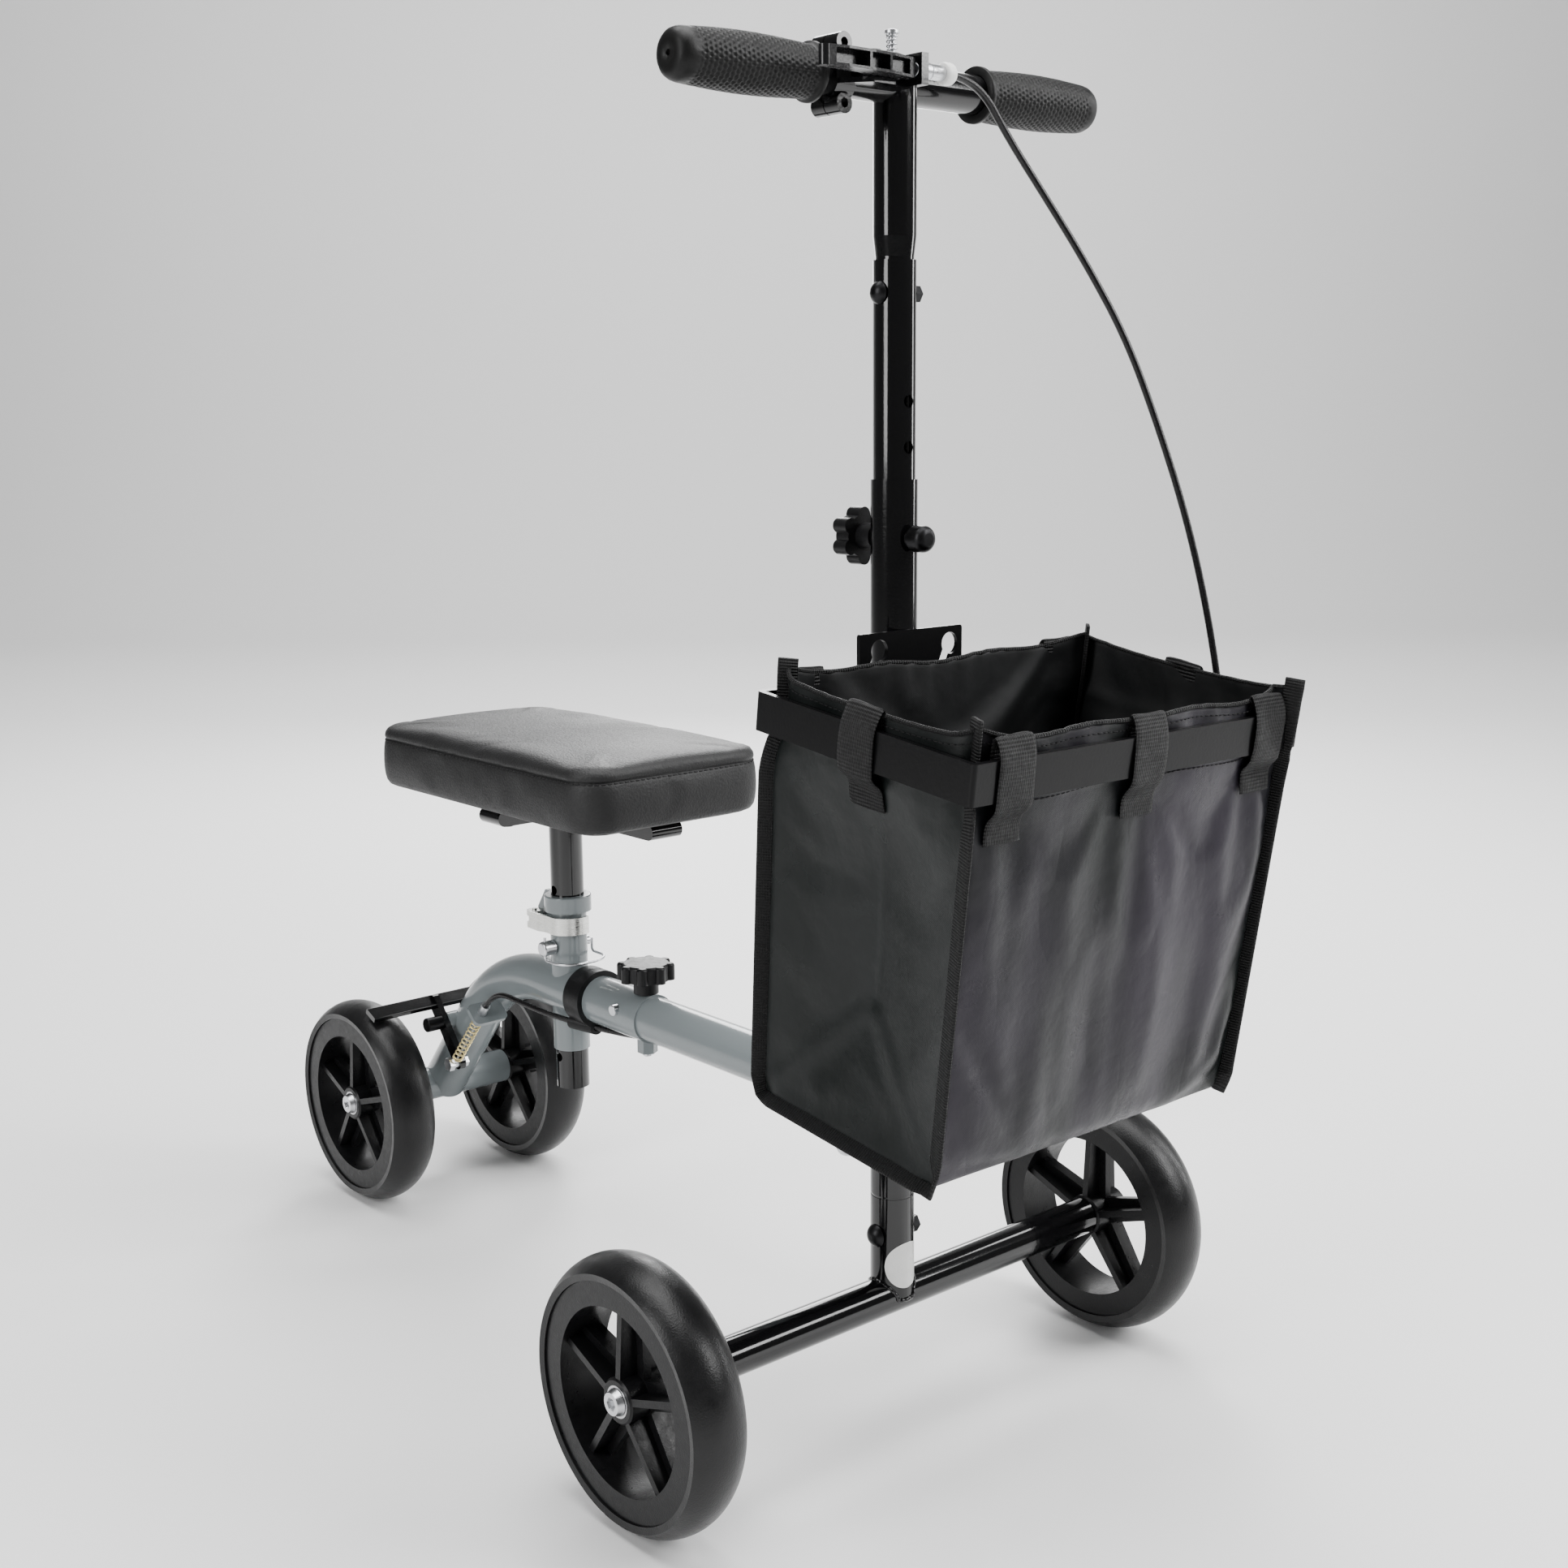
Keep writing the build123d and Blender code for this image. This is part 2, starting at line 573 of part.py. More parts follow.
with BuildPart() as mast_lock_bolt:
    with BuildSketch(ahead(FRONT_X - 34, 0, MAST_LOCK_Z)):
        Circle(4)
    extrude(amount=60)
    with BuildSketch(ahead(FRONT_X + COLUMN_R + 0.3, 0, MAST_LOCK_Z)):
        Circle(6.2)
    extrude(amount=5)
    with BuildSketch(ahead(FRONT_X + COLUMN_R + 5, 0, MAST_LOCK_Z)):
        Circle(9)
    extrude(amount=13)
    fillet(mast_lock_bolt.edges().group_by(Axis.X)[-1], 5.5)
save(mast_lock_bolt.part, "mast_lock_bolt")

with BuildPart() as mast_knob:
    with BuildSketch(ahead(FRONT_X - COLUMN_R - 14.4, 0, MAST_LOCK_Z)):
        Circle(9)
    extrude(amount=14)
    with BuildSketch(ahead(FRONT_X - COLUMN_R - 27.4, 0, MAST_LOCK_Z)):
        Circle(15)
        with PolarLocations(14.5, 6, start_angle=30):
            Circle(5.4)
    extrude(amount=14)
    fillet(mast_knob.edges().group_by(Axis.X)[0], 2)
    with BuildSketch(ahead(FRONT_X - 35, 0, MAST_LOCK_Z)):
        Circle(4.05)
    extrude(amount=40, mode=Mode.SUBTRACT)
save(mast_knob.part, "mast_knob")

# ---------------------------------------------------------------- mast and handlebar
MAST_BOLT_Z = MAST_TOP_Z - 21
MAST_BORE_R = MAST_R - 1.5
with BuildPart() as mast_tube:
    with BuildSketch(level(FRONT_X, 0, MAST_BOTTOM_Z)):
        Circle(MAST_R)
        Circle(MAST_BORE_R, mode=Mode.SUBTRACT)
    extrude(amount=MAST_TOP_Z - MAST_BOTTOM_Z)
    for step in range(-3, 4):
        with BuildSketch(ahead(FRONT_X - 25, 0, MAST_LOCK_Z + step * MAST_PITCH)):
            Circle(4.15)
        extrude(amount=50, mode=Mode.SUBTRACT)
    with BuildSketch(across(FRONT_X, -25, MAST_BOLT_Z)):
        Circle(3)
    extrude(amount=50, mode=Mode.SUBTRACT)
save(mast_tube.part, "mast_tube")

# handlebar welded to a stem whose swaged end sits in the mast tube
with BuildPart() as handlebar:
    with BuildSketch(ahead(FRONT_X, 0, 0)):
        with BuildLine():
            Polyline(
                (MAST_BORE_R - 1.8, 770), (MAST_BORE_R, 770), (MAST_BORE_R, MAST_TOP_Z + 2),
                (MAST_R, MAST_TOP_Z + 15), (MAST_R, BAR_Z), (MAST_BORE_R, BAR_Z),
                (MAST_BORE_R, MAST_TOP_Z + 17), (MAST_BORE_R - 1.8, MAST_TOP_Z + 4), close=True,
            )
        make_face()
    revolve(axis=Axis((FRONT_X, 0, 0), (0, 0, 1)))
    with BuildSketch(across(FRONT_X, -GRIP_END_Y + 3.5, BAR_Z)):
        Circle(BAR_R)
    extrude(amount=2 * GRIP_END_Y - 7)
    with BuildSketch(across(FRONT_X, -GRIP_END_Y + 3.5, BAR_Z)):
        Circle(BAR_R - 1.6)
    extrude(amount=2 * GRIP_END_Y - 7, mode=Mode.SUBTRACT)
    with BuildSketch(across(FRONT_X, -25, MAST_BOLT_Z)):
        Circle(3)
    extrude(amount=50, mode=Mode.SUBTRACT)
save(handlebar.part, "handlebar")

save(make_cross_bolt(MAST_BOLT_Z, MAST_R, 3, 7.5, 6), "mast_bolt")

GRIP_START_Y = GRIP_END_Y - GRIP_LENGTH
with BuildPart() as grips:
    with BuildSketch(ahead(FRONT_X, 0, BAR_Z)):
        with BuildLine():
            Polyline(
                (GRIP_END_Y - 3.2, BAR_R), (GRIP_START_Y, BAR_R), (GRIP_START_Y, 17.6),
                (GRIP_START_Y + 1, 18.4), (GRIP_START_Y + 4, 18.4), (GRIP_START_Y + 5.5, 16.6),
            )
            ThreePointArc((GRIP_START_Y + 5.5, 16.6), (GRIP_START_Y + 58, 18.3), (GRIP_END_Y - 4, 15.6))
            RadiusArc((GRIP_END_Y - 4, 15.6), (GRIP_END_Y, 12.2), 4.4)
            Polyline(
                (GRIP_END_Y, 12.2), (GRIP_END_Y, 2), (GRIP_END_Y - 3.2, 2), (GRIP_END_Y - 3.2, BAR_R),
            )
        make_face()
    revolve(axis=Axis((FRONT_X, 0, BAR_Z), (0, 1, 0)))
    mirror(about=Plane.XZ)
save(grips.part, "grips")

# ---------------------------------------------------------------- brake lever assembly
PERCH_Y = -56.0
LEVER_Z = 937.0
LEVER_HALF_TALL = 6.0
LEVER_PIVOT_X = FRONT_X + 24
LEVER_PIVOT_Y = -42.0
CABLE_X = FRONT_X + 38
PLUNGER_X = FRONT_X + 22
PLUNGER_Y = -24.0
with BuildPart() as brake_perch:
    with BuildSketch(across(FRONT_X, PERCH_Y - 8, BAR_Z)):
        Circle(BAR_R + 4.3)
    extrude(amount=16)
    for knuckle_z in (BAR_Z - 18, BAR_Z + 18):
        with BuildSketch(ahead(FRONT_X - 12, PERCH_Y, knuckle_z)):
            Circle(6.4)
        extrude(amount=25)
    with BuildSketch(level(0, 0, LEVER_Z - 9.6)):
        with BuildLine():
            Polyline(
                (FRONT_X + 8, -64), (FRONT_X + 18, -64), (FRONT_X + 34, -50), (FRONT_X + 34, -32),
                (FRONT_X + 30, -20), (CABLE_X + 7, -20), (CABLE_X + 7, -14), (FRONT_X + 13, -14),
                (FRONT_X + 13, -48), (FRONT_X + 8, -48), close=True,
            )
        make_face()
    extrude(amount=19.2)
    with BuildSketch(level(0, 0, LEVER_Z - LEVER_HALF_TALL - 0.4)):
        with BuildLine():
            Polyline(
                (FRONT_X + 14.5, -100), (FRONT_X + 60, -100), (FRONT_X + 60, -20),
                (FRONT_X + 18, -20), (FRONT_X + 14.5, -30), close=True,
            )
        make_face()
    extrude(amount=2 * LEVER_HALF_TALL + 0.8, mode=Mode.SUBTRACT)
    with BuildSketch(across(FRONT_X, PERCH_Y - 40, BAR_Z)):
        Circle(BAR_R)
    extrude(amount=90, mode=Mode.SUBTRACT)
    with BuildSketch(level(FRONT_X, PERCH_Y, BAR_Z - 30)):
        Rectangle(0.8, 24)
    extrude(amount=60, mode=Mode.SUBTRACT)
    with BuildSketch(level(LEVER_PIVOT_X, LEVER_PIVOT_Y, LEVER_Z - 9.6)):
        Circle(3)
    extrude(amount=20.4)
    with BuildSketch(level(LEVER_PIVOT_X, LEVER_PIVOT_Y, LEVER_Z + 9.6)):
        Circle(5)
    extrude(amount=1.6)
    with BuildSketch(level(PLUNGER_X, PLUNGER_Y, LEVER_Z)):
        Circle(2.1)
    extrude(amount=20, mode=Mode.SUBTRACT)
    with BuildSketch(across(CABLE_X, -25, LEVER_Z)):
        Circle(4.4)
    extrude(amount=20, mode=Mode.SUBTRACT)
    for knuckle_z in (BAR_Z - 18, BAR_Z + 18):
        with BuildSketch(ahead(FRONT_X + 10, PERCH_Y, knuckle_z)):
            Circle(3)
        extrude(amount=4, mode=Mode.SUBTRACT)
save(brake_perch.part, "brake_perch")

CABLE_START = (CABLE_X, 9.0, LEVER_Z)
with BuildPart() as cable_adjuster:
    with BuildSketch(across(CABLE_X, -20, LEVER_Z)):
        Circle(4.4)
    extrude(amount=25)
    with BuildSketch(across(CABLE_X, -9, LEVER_Z)):
        Circle(5.4)
    extrude(amount=5)
    with BuildSketch(across(CABLE_X, -4, LEVER_Z)):
        Circle(4.9)
    extrude(amount=8.6)
    with BuildSketch(across(CABLE_X, 4.6, LEVER_Z)):
        Circle(7)
    extrude(amount=10)
    fillet(cable_adjuster.edges().group_by(Axis.Y)[-1], 3)
    with BuildSketch(across(CABLE_X, -20, LEVER_Z)):
        Circle(1.2)
    extrude(amount=30, mode=Mode.SUBTRACT)
    with BuildSketch(across(CABLE_X, CABLE_START[1], LEVER_Z)):
        Circle(CABLE_R + 0.05)
    extrude(amount=8, mode=Mode.SUBTRACT)
save(cable_adjuster.part, "cable_adjuster")

with BuildPart() as brake_lever:
    with BuildSketch(level(FRONT_X, 0, LEVER_Z - LEVER_HALF_TALL)):
        with BuildLine():
            Polyline((17, -38), (30, -33), (34, -24), (43, -24), (47, -45), (48.5, -62), (48.5, -84), (46, -98))
            RadiusArc((46, -98), (38, -98), 4)
            Polyline((38, -98), (37, -84), (36.5, -66), (31, -52), (18.5, -48))
            RadiusArc((18.5, -48), (17, -38), -6)
        make_face()
    extrude(amount=2 * LEVER_HALF_TALL)
    for low_y, high_y in ((-93, -67), (-65, -49), (-47, -29)):
        with BuildSketch(ahead(FRONT_X + 40.5, (low_y + high_y) / 2, LEVER_Z)):
            Rectangle(high_y - low_y, 2 * LEVER_HALF_TALL - 3.2)
        extrude(amount=12, mode=Mode.SUBTRACT)
    with BuildSketch(level(LEVER_PIVOT_X, LEVER_PIVOT_Y, LEVER_Z - 10)):
        Circle(3 + RUN_CLEAR)
    extrude(amount=20, mode=Mode.SUBTRACT)
save(brake_lever.part, "brake_lever")

with BuildPart() as park_plunger:
    with BuildSketch(level(PLUNGER_X, PLUNGER_Y, LEVER_Z + 7)):
        Circle(2)
    extrude(amount=17)
    with BuildSketch(level(PLUNGER_X, PLUNGER_Y, LEVER_Z + 23)):
        Circle(4.6)
    extrude(amount=2.4)
    fillet(park_plunger.edges().group_by(Axis.Z)[-1], 0.8)
save(park_plunger.part, "park_plunger")

# ---------------------------------------------------------------- seat
ARM_TALL = 13.0
ARM_WIDTH = 30.0
ARM_TOP_Z = PAD_BOTTOM_Z - 2
ARM_Z = ARM_TOP_Z - ARM_TALL / 2
LONG_ARM = 292.0
SHORT_ARM = 152.0
SCREW_SPOTS = ((SEAT_X - 122, 0), (SEAT_X + 122, 0), (SEAT_X, -58), (SEAT_X, 58))
BOARD_TOP_Z = PAD_BOTTOM_Z + 4
with BuildPart() as seat_post:
    with BuildSketch(level(SEAT_X, 0, SEAT_POST_BOTTOM_Z)):
        Circle(SEAT_POST_R)
        Circle(SEAT_POST_R - 1.6, mode=Mode.SUBTRACT)
    extrude(amount=ARM_TOP_Z - ARM_TALL - SEAT_POST_BOTTOM_Z)
    for step in range(-4, 3):
        with BuildSketch(across(SEAT_X, -25, SEAT_PIN_Z + step * SEAT_PITCH)):
            Circle(4.15)
        extrude(amount=50, mode=Mode.SUBTRACT)
save(seat_post.part, "seat_post")

with BuildPart() as seat_bracket:
    with BuildSketch(across(SEAT_X, -ARM_WIDTH / 2, ARM_Z)):
        SlotOverall(LONG_ARM, ARM_TALL)
    extrude(amount=ARM_WIDTH)
    with BuildSketch(ahead(SEAT_X - ARM_WIDTH / 2, 0, ARM_Z)):
        SlotOverall(SHORT_ARM, ARM_TALL)
    extrude(amount=ARM_WIDTH)
    with BuildSketch(level(SEAT_X, 0, ARM_TOP_Z)):
        Rectangle(LONG_ARM - 24, ARM_WIDTH - 5)
        Rectangle(ARM_WIDTH - 5, SHORT_ARM - 24)
    extrude(amount=-ARM_TALL + 2.5, mode=Mode.SUBTRACT)
    with BuildSketch(level(0, 0, ARM_TOP_Z)):
        with Locations(*SCREW_SPOTS):
            Circle(2.05)
    extrude(amount=-20, mode=Mode.SUBTRACT)
save(seat_bracket.part, "seat_bracket")

with BuildPart() as seat_board:
    with BuildSketch(level(SEAT_X, 0, ARM_TOP_Z)):
        RectangleRounded(PAD_LENGTH - 34, PAD_WIDTH - 34, 16)
    extrude(amount=BOARD_TOP_Z - ARM_TOP_Z)
    with BuildSketch(level(0, 0, ARM_TOP_Z)):
        with Locations(*SCREW_SPOTS):
            Circle(2)
    extrude(amount=20, mode=Mode.SUBTRACT)
save(seat_board.part, "seat_board")

with BuildPart() as seat_screws:
    with BuildSketch(level(0, 0, ARM_TOP_Z - ARM_TALL - 3)):
        with Locations(*SCREW_SPOTS):
            Circle(4.6)
    extrude(amount=3)
    with BuildSketch(level(0, 0, ARM_TOP_Z - ARM_TALL)):
        with Locations(*SCREW_SPOTS):
            Circle(2)
    extrude(amount=ARM_TALL + 5.5)
save(seat_screws.part, "seat_screws")

with BuildPart() as seat_pad:
    with BuildSketch(level(SEAT_X, 0, PAD_BOTTOM_Z)):
        RectangleRounded(PAD_LENGTH, PAD_WIDTH, 31)
    extrude(amount=PAD_TOP_Z - PAD_BOTTOM_Z)
    fillet(seat_pad.edges().group_by(Axis.Z)[-1], 14)
    fillet(seat_pad.edges().group_by(Axis.Z)[0], 8)
    with BuildSketch(level(SEAT_X, 0, PAD_BOTTOM_Z)):
        RectangleRounded(PAD_LENGTH - 34, PAD_WIDTH - 34, 16)
    extrude(amount=BOARD_TOP_Z - PAD_BOTTOM_Z, mode=Mode.SUBTRACT)
save(seat_pad.part, "seat_pad")


# ---------------------------------------------------------------- rear brake
def side(y):
    """Plane seen from the rider's right: local x to the front, local y up; it extrudes to the right."""
    return Plane(origin=(0, y, 0), x_dir=(1, 0, 0), z_dir=(0, -1, 0))


CABLE_CORNER = (FRONT_X - 478.0, BRAKE_WIRE_Y, 226.0)
wire_dx = BRAKE_PINCH[0] - CABLE_CORNER[0]
wire_dz = BRAKE_PINCH[1] - CABLE_CORNER[2]
wire_reach = math.hypot(wire_dx, wire_dz)
WIRE_DIR = (wire_dx / wire_reach, 0, wire_dz / wire_reach)
HOUSING_END = 27.0


def along_wire(distance):
    """Plane across the brake wire, at a distance below the housing's last corner."""
    spot = tuple(CABLE_CORNER[i] + WIRE_DIR[i] * distance for i in range(3))
    return Plane(origin=spot, x_dir=(0, 1, 0), z_dir=WIRE_DIR)


with BuildPart() as frame_envelope:
    with BuildLine(Plane.XZ):
        FilletPolyline((SLEEVE_END_X, TUBE_Z), (BEND_X, TUBE_Z), (REAR_X, AXLE_Z), radius=BEND_R)
    with BuildSketch(ahead(SLEEVE_END_X, 0, TUBE_Z)):
        Circle(FRAME_R)
    sweep()

with BuildPart() as brake_brackets:
    with BuildSketch(side(-12)):
        with Locations(BRAKE_PIVOT):
            Circle(8)
    extrude(amount=14)
    with BuildSketch(along_wire(HOUSING_END + 7)):
        with Locations((6, 0)):
            RectangleRounded(34, 22, 5)
    extrude(amount=4)
    with BuildSketch(side(-10)):
        with Locations(BRAKE_PIVOT):
            Circle(4)
    extrude(amount=20, mode=Mode.SUBTRACT)
    with BuildSketch(along_wire(HOUSING_END)):
        Circle(4.2)
    extrude(amount=20, mode=Mode.SUBTRACT)
    add(frame_envelope.part, mode=Mode.SUBTRACT)
save(brake_brackets.part, "brake_brackets")

with BuildPart() as brake_pivot_bolt:
    with BuildSketch(side(-22)):
        with Locations(BRAKE_PIVOT):
            Circle(4)
    extrude(amount=26)
    with BuildSketch(side(-32.3)):
        with Locations(BRAKE_PIVOT):
            Circle(6.6)
    extrude(amount=16)
    fillet(brake_pivot_bolt.edges().group_by(Axis.Y)[0], 1.2)
save(brake_pivot_bolt.part, "brake_pivot_bolt")

with BuildPart() as cable_stop:
    with BuildSketch(along_wire(HOUSING_END - 4)):
        Circle(4.2)
    extrude(amount=24)
    with BuildSketch(along_wire(HOUSING_END + 11.1)):
        RegularPolygon(6.4, 6)
    extrude(amount=5)
    with BuildSketch(along_wire(HOUSING_END - 5)):
        Circle(CABLE_R + 0.05)
    extrude(amount=5.1, mode=Mode.SUBTRACT)
    with BuildSketch(along_wire(HOUSING_END)):
        Circle(1.3)
    extrude(amount=40, mode=Mode.SUBTRACT)
save(cable_stop.part, "cable_stop")

bar_turn = math.radians(BRAKE_BAR_ANGLE)
BRAKE_BAR = (
    REAR_X + BRAKE_BAR_RADIUS * math.cos(bar_turn),
    AXLE_Z + BRAKE_BAR_RADIUS * math.sin(bar_turn),
)
ARM_MIDDLE = ((BRAKE_BAR[0] + BRAKE_PINCH[0]) / 2, (BRAKE_BAR[1] + BRAKE_PINCH[1]) / 2)
BAR_HALF_LENGTH = 97.0
with BuildPart() as brake_arm:
    with BuildSketch(side(-26.2)):
        SlotCenterPoint(ARM_MIDDLE, BRAKE_PINCH, 13)
    extrude(amount=5.8)
    bar_plane = Plane(
        origin=(BRAKE_BAR[0], -BAR_HALF_LENGTH, BRAKE_BAR[1]),
        x_dir=(-math.sin(bar_turn), 0, math.cos(bar_turn)),
        z_dir=(0, 1, 0),
    )
    with BuildSketch(bar_plane):
        RectangleRounded(16, 5, 1)
    extrude(amount=2 * BAR_HALF_LENGTH)
    with BuildSketch(side(-20)):
        with Locations(BRAKE_PIVOT):
            Circle(4 + RUN_CLEAR)
        with Locations(BRAKE_PINCH):
            Circle(2.5)
    extrude(amount=20, mode=Mode.SUBTRACT)
save(brake_arm.part, "brake_arm")

with BuildPart() as pinch_bolt:
    with BuildSketch(side(-21)):
        with Locations(BRAKE_PINCH):
            Circle(2.5)
    extrude(amount=14)
    with BuildSketch(side(-22)):
        with Locations(BRAKE_PINCH):
            RegularPolygon(5.2, 6)
    extrude(amount=4.2)
    with BuildSketch(side(-32)):
        with Locations(BRAKE_PINCH):
            Circle(4.4)
    extrude(amount=5.2)
    with BuildSketch(side(-37.2)):
        with Locations(BRAKE_PINCH):
            RegularPolygon(6.4, 6)
    extrude(amount=5)
    with BuildSketch(along_wire(wire_reach - 10)):
        Circle(1.1)
    extrude(amount=20, mode=Mode.SUBTRACT)
save(pinch_bolt.part, "pinch_bolt")

with BuildPart() as brake_wire:
    with BuildSketch(along_wire(HOUSING_END + 0.2)):
        Circle(0.9)
    extrude(amount=wire_reach + 9 - HOUSING_END)
save(brake_wire.part, "brake_wire")

with BuildPart() as return_spring:
    with BuildSketch(along_wire(HOUSING_END + 20.3)):
        Circle(5.2)
        Circle(3.6, mode=Mode.SUBTRACT)
    extrude(amount=wire_reach - 8 - HOUSING_END - 20.3)
save(return_spring.part, "return_spring")

# brake cable: from the lever's adjuster, out to the left of the basket, under the frame, to the stop
CABLE_ROUTE = [
    CABLE_START,
    (FRONT_X + 38, 36, LEVER_Z),
    (FRONT_X + 40, 66, 901),
    (FRONT_X + 52, 88, 866),
    (FRONT_X + 69, 110, 824),
    (FRONT_X + 87, 132, 775),
    (FRONT_X + 103, 148, 718),
    (FRONT_X + 118, 162, 658),
    (FRONT_X + 131, 171, 597),
    (FRONT_X + 141, 177, 535),
    (FRONT_X + 147, 181, 472),
    (FRONT_X + 145, 183, 409),
    (FRONT_X + 130, 182, 350),
    (FRONT_X + 103, 173, 298),
    (FRONT_X + 66, 155, 258),
    (FRONT_X + 22, 126, 232),
    (FRONT_X - 24, 92, 216),
    (FRONT_X - 72, 58, 209),
    (FRONT_X - 122, 32, 209),
    (FRONT_X - 178, 17, 212.5),
    (FRONT_X - 238, 12, 214),
    (FRONT_X - 295, 14, 213.5),
    (FRONT_X - 345, 1, 211),
    (FRONT_X - 400, -22, 217),
    (FRONT_X - 438, -30, 222),
    CABLE_CORNER,
    tuple(CABLE_CORNER[i] + WIRE_DIR[i] * HOUSING_END for i in range(3)),
]


def corner_radii(route):
    """Largest practical arc at each inner point: 0.45 of the shorter run over the half turn's tangent."""
    radii = []
    for before, here, after in zip(route, route[1:], route[2:]):
        first = Vector(*here) - Vector(*before)
        second = Vector(*after) - Vector(*here)
        half_turn = math.radians(first.get_angle(second)) / 2
        radii.append(0.45 * min(first.length, second.length) / math.tan(half_turn))
    return radii


cable_radii = corner_radii(CABLE_ROUTE)
with BuildPart() as brake_cable:
    with BuildLine() as cable_path:
        FilletPolyline(*CABLE_ROUTE, radius=cable_radii)
    with BuildSketch(across(*CABLE_START)):
        Circle(CABLE_R)
    sweep()
save(brake_cable.part, "brake_cable")
cable_length = cable_path.wires()[0].length
print("cable radii", [round(r) for r in cable_radii])
print("cable length", round(cable_length, 1), "volume ratio",
      round(brake_cable.part.volume / (math.pi * CABLE_R**2 * cable_length), 4))

# band that ties the cable to the frame tube; the cable crosses it on the straight run at its bottom
BAND_X = FRONT_X - 383.0
BAND_WIDTH = 22.0
band_enter = CABLE_ROUTE[22]
band_leave = CABLE_ROUTE[23]
band_run = tuple(band_leave[i] - band_enter[i] for i in range(3))
band_plane = Plane(origin=band_enter, z_dir=band_run)
band_run_length = math.dist(band_enter, band_leave)
with BuildPart() as cable_band:
    with BuildSketch(ahead(BAND_X, 0, TUBE_Z)):
        Circle(FRAME_R + 4.6)
    extrude(amount=BAND_WIDTH)
    with BuildSketch(band_plane):
        Circle(6)
    extrude(amount=band_run_length)
    with BuildSketch(ahead(BAND_X - 60, 0, TUBE_Z)):
        Rectangle(90, 90)
    extrude(amount=60, mode=Mode.SUBTRACT)
    with BuildSketch(ahead(BAND_X + BAND_WIDTH, 0, TUBE_Z)):
        Rectangle(90, 90)
    extrude(amount=60, mode=Mode.SUBTRACT)
    with BuildSketch(band_plane):
        Circle(CABLE_R + 0.4)
    extrude(amount=band_run_length, mode=Mode.SUBTRACT)
    with BuildSketch(ahead(BAND_X - 1, 0, TUBE_Z)):
        Circle(FRAME_R)
    extrude(amount=BAND_WIDTH + 2, mode=Mode.SUBTRACT)
save(cable_band.part, "cable_band")

# ---------------------------------------------------------------- basket
tilt = math.radians(BASKET_TILT)


def basket_level(height):
    """Plane parallel to the basket's rim: local x to the front from the rear bar, local y to the left."""
    normal = (math.sin(tilt), 0, math.cos(tilt))
    return Plane(
        origin=(BASKET_REAR_X + normal[0] * height, 0, BASKET_REAR_TOP_Z + normal[2] * height),
        x_dir=(math.cos(tilt), 0, -math.sin(tilt)),
        z_dir=normal,
    )


PEG_HEAD_X = PLATE_BACK_X - 3.6
with BuildPart() as basket_frame:
    with BuildSketch(basket_level(-BASKET_BAR_TALL)):
        with Locations((BASKET_LENGTH / 2, 0)):
            RectangleRounded(BASKET_LENGTH, BASKET_WIDTH, 3)
            Rectangle(
                BASKET_LENGTH - 2 * BASKET_BAR_THICK, BASKET_WIDTH - 2 * BASKET_BAR_THICK, mode=Mode.SUBTRACT
            )
    extrude(amount=BASKET_BAR_TALL)
    for peg_y in PEG_YS:
        with BuildSketch(ahead(PEG_HEAD_X, peg_y, PEG_Z)):
            Circle(4)
        extrude(amount=BASKET_REAR_X + 1 - PEG_HEAD_X)
        with BuildSketch(ahead(PEG_HEAD_X, peg_y, PEG_Z)):
            Circle(7)
        extrude(amount=3.2)
        with BuildSketch(ahead(PLATE_BACK_X + PLATE_THICK + 0.4, peg_y, PEG_Z)):
            Circle(7)
        extrude(amount=3)
save(basket_frame.part, "basket_frame")

BAG_RIM = 12.0
BAG_DEPTH = 270.0
BAG_SKIN = 2.5
STRAP_WIDTH = 28.0
STRAP_SKIN = 2.2
STRAP_GAP = 0.5


front_straps = [(BASKET_LENGTH, y, 0) for y in (-118.0, 0.0, 118.0)]
rear_straps = [(0, y, 180) for y in (-118.0, 118.0)]
side_straps = [(95.0, -BASKET_WIDTH / 2, -90), (95.0, BASKET_WIDTH / 2, 90)]
with BuildPart() as bag:
    with BuildSketch(basket_level(BAG_RIM)):
        with Locations((95, 0)):
            RectangleRounded(177, 292, 6)
    with BuildSketch(basket_level(-BAG_DEPTH)):
        with Locations((98, 0)):
            RectangleRounded(162, 278, 6)
    loft()
    with BuildSketch(basket_level(BAG_RIM)):
        with Locations((95, 0)):
            RectangleRounded(177 - 2 * BAG_SKIN, 292 - 2 * BAG_SKIN, 6 - BAG_SKIN)
    with BuildSketch(basket_level(BAG_SKIN - BAG_DEPTH)):
        with Locations((98, 0)):
            RectangleRounded(162 - 2 * BAG_SKIN, 278 - 2 * BAG_SKIN, 6 - BAG_SKIN)
    loft(mode=Mode.SUBTRACT)
    for strap_x, strap_y, turn in front_straps + rear_straps + side_straps:
        outer_face = basket_level(0).location * Location((strap_x, strap_y, 0), (0, 0, turn))
        strap_plane = Plane(outer_face * Location((0, -STRAP_WIDTH / 2, 0), (-90, 0, 0)))
        inner = -BASKET_BAR_THICK - 5
        with BuildSketch(strap_plane):
            with Locations((inner, -STRAP_GAP - STRAP_SKIN)):
                Rectangle(
                    STRAP_GAP + STRAP_SKIN - inner,
                    BASKET_BAR_TALL + 2 * (STRAP_GAP + STRAP_SKIN),
                    align=(Align.MIN, Align.MIN),
                )
            with Locations((inner, -STRAP_GAP)):
                Rectangle(
                    STRAP_GAP - inner, BASKET_BAR_TALL + 2 * STRAP_GAP, align=(Align.MIN, Align.MIN),
                    mode=Mode.SUBTRACT,
                )
        extrude(amount=STRAP_WIDTH)
save(bag.part, "bag")
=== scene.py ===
import json
import math

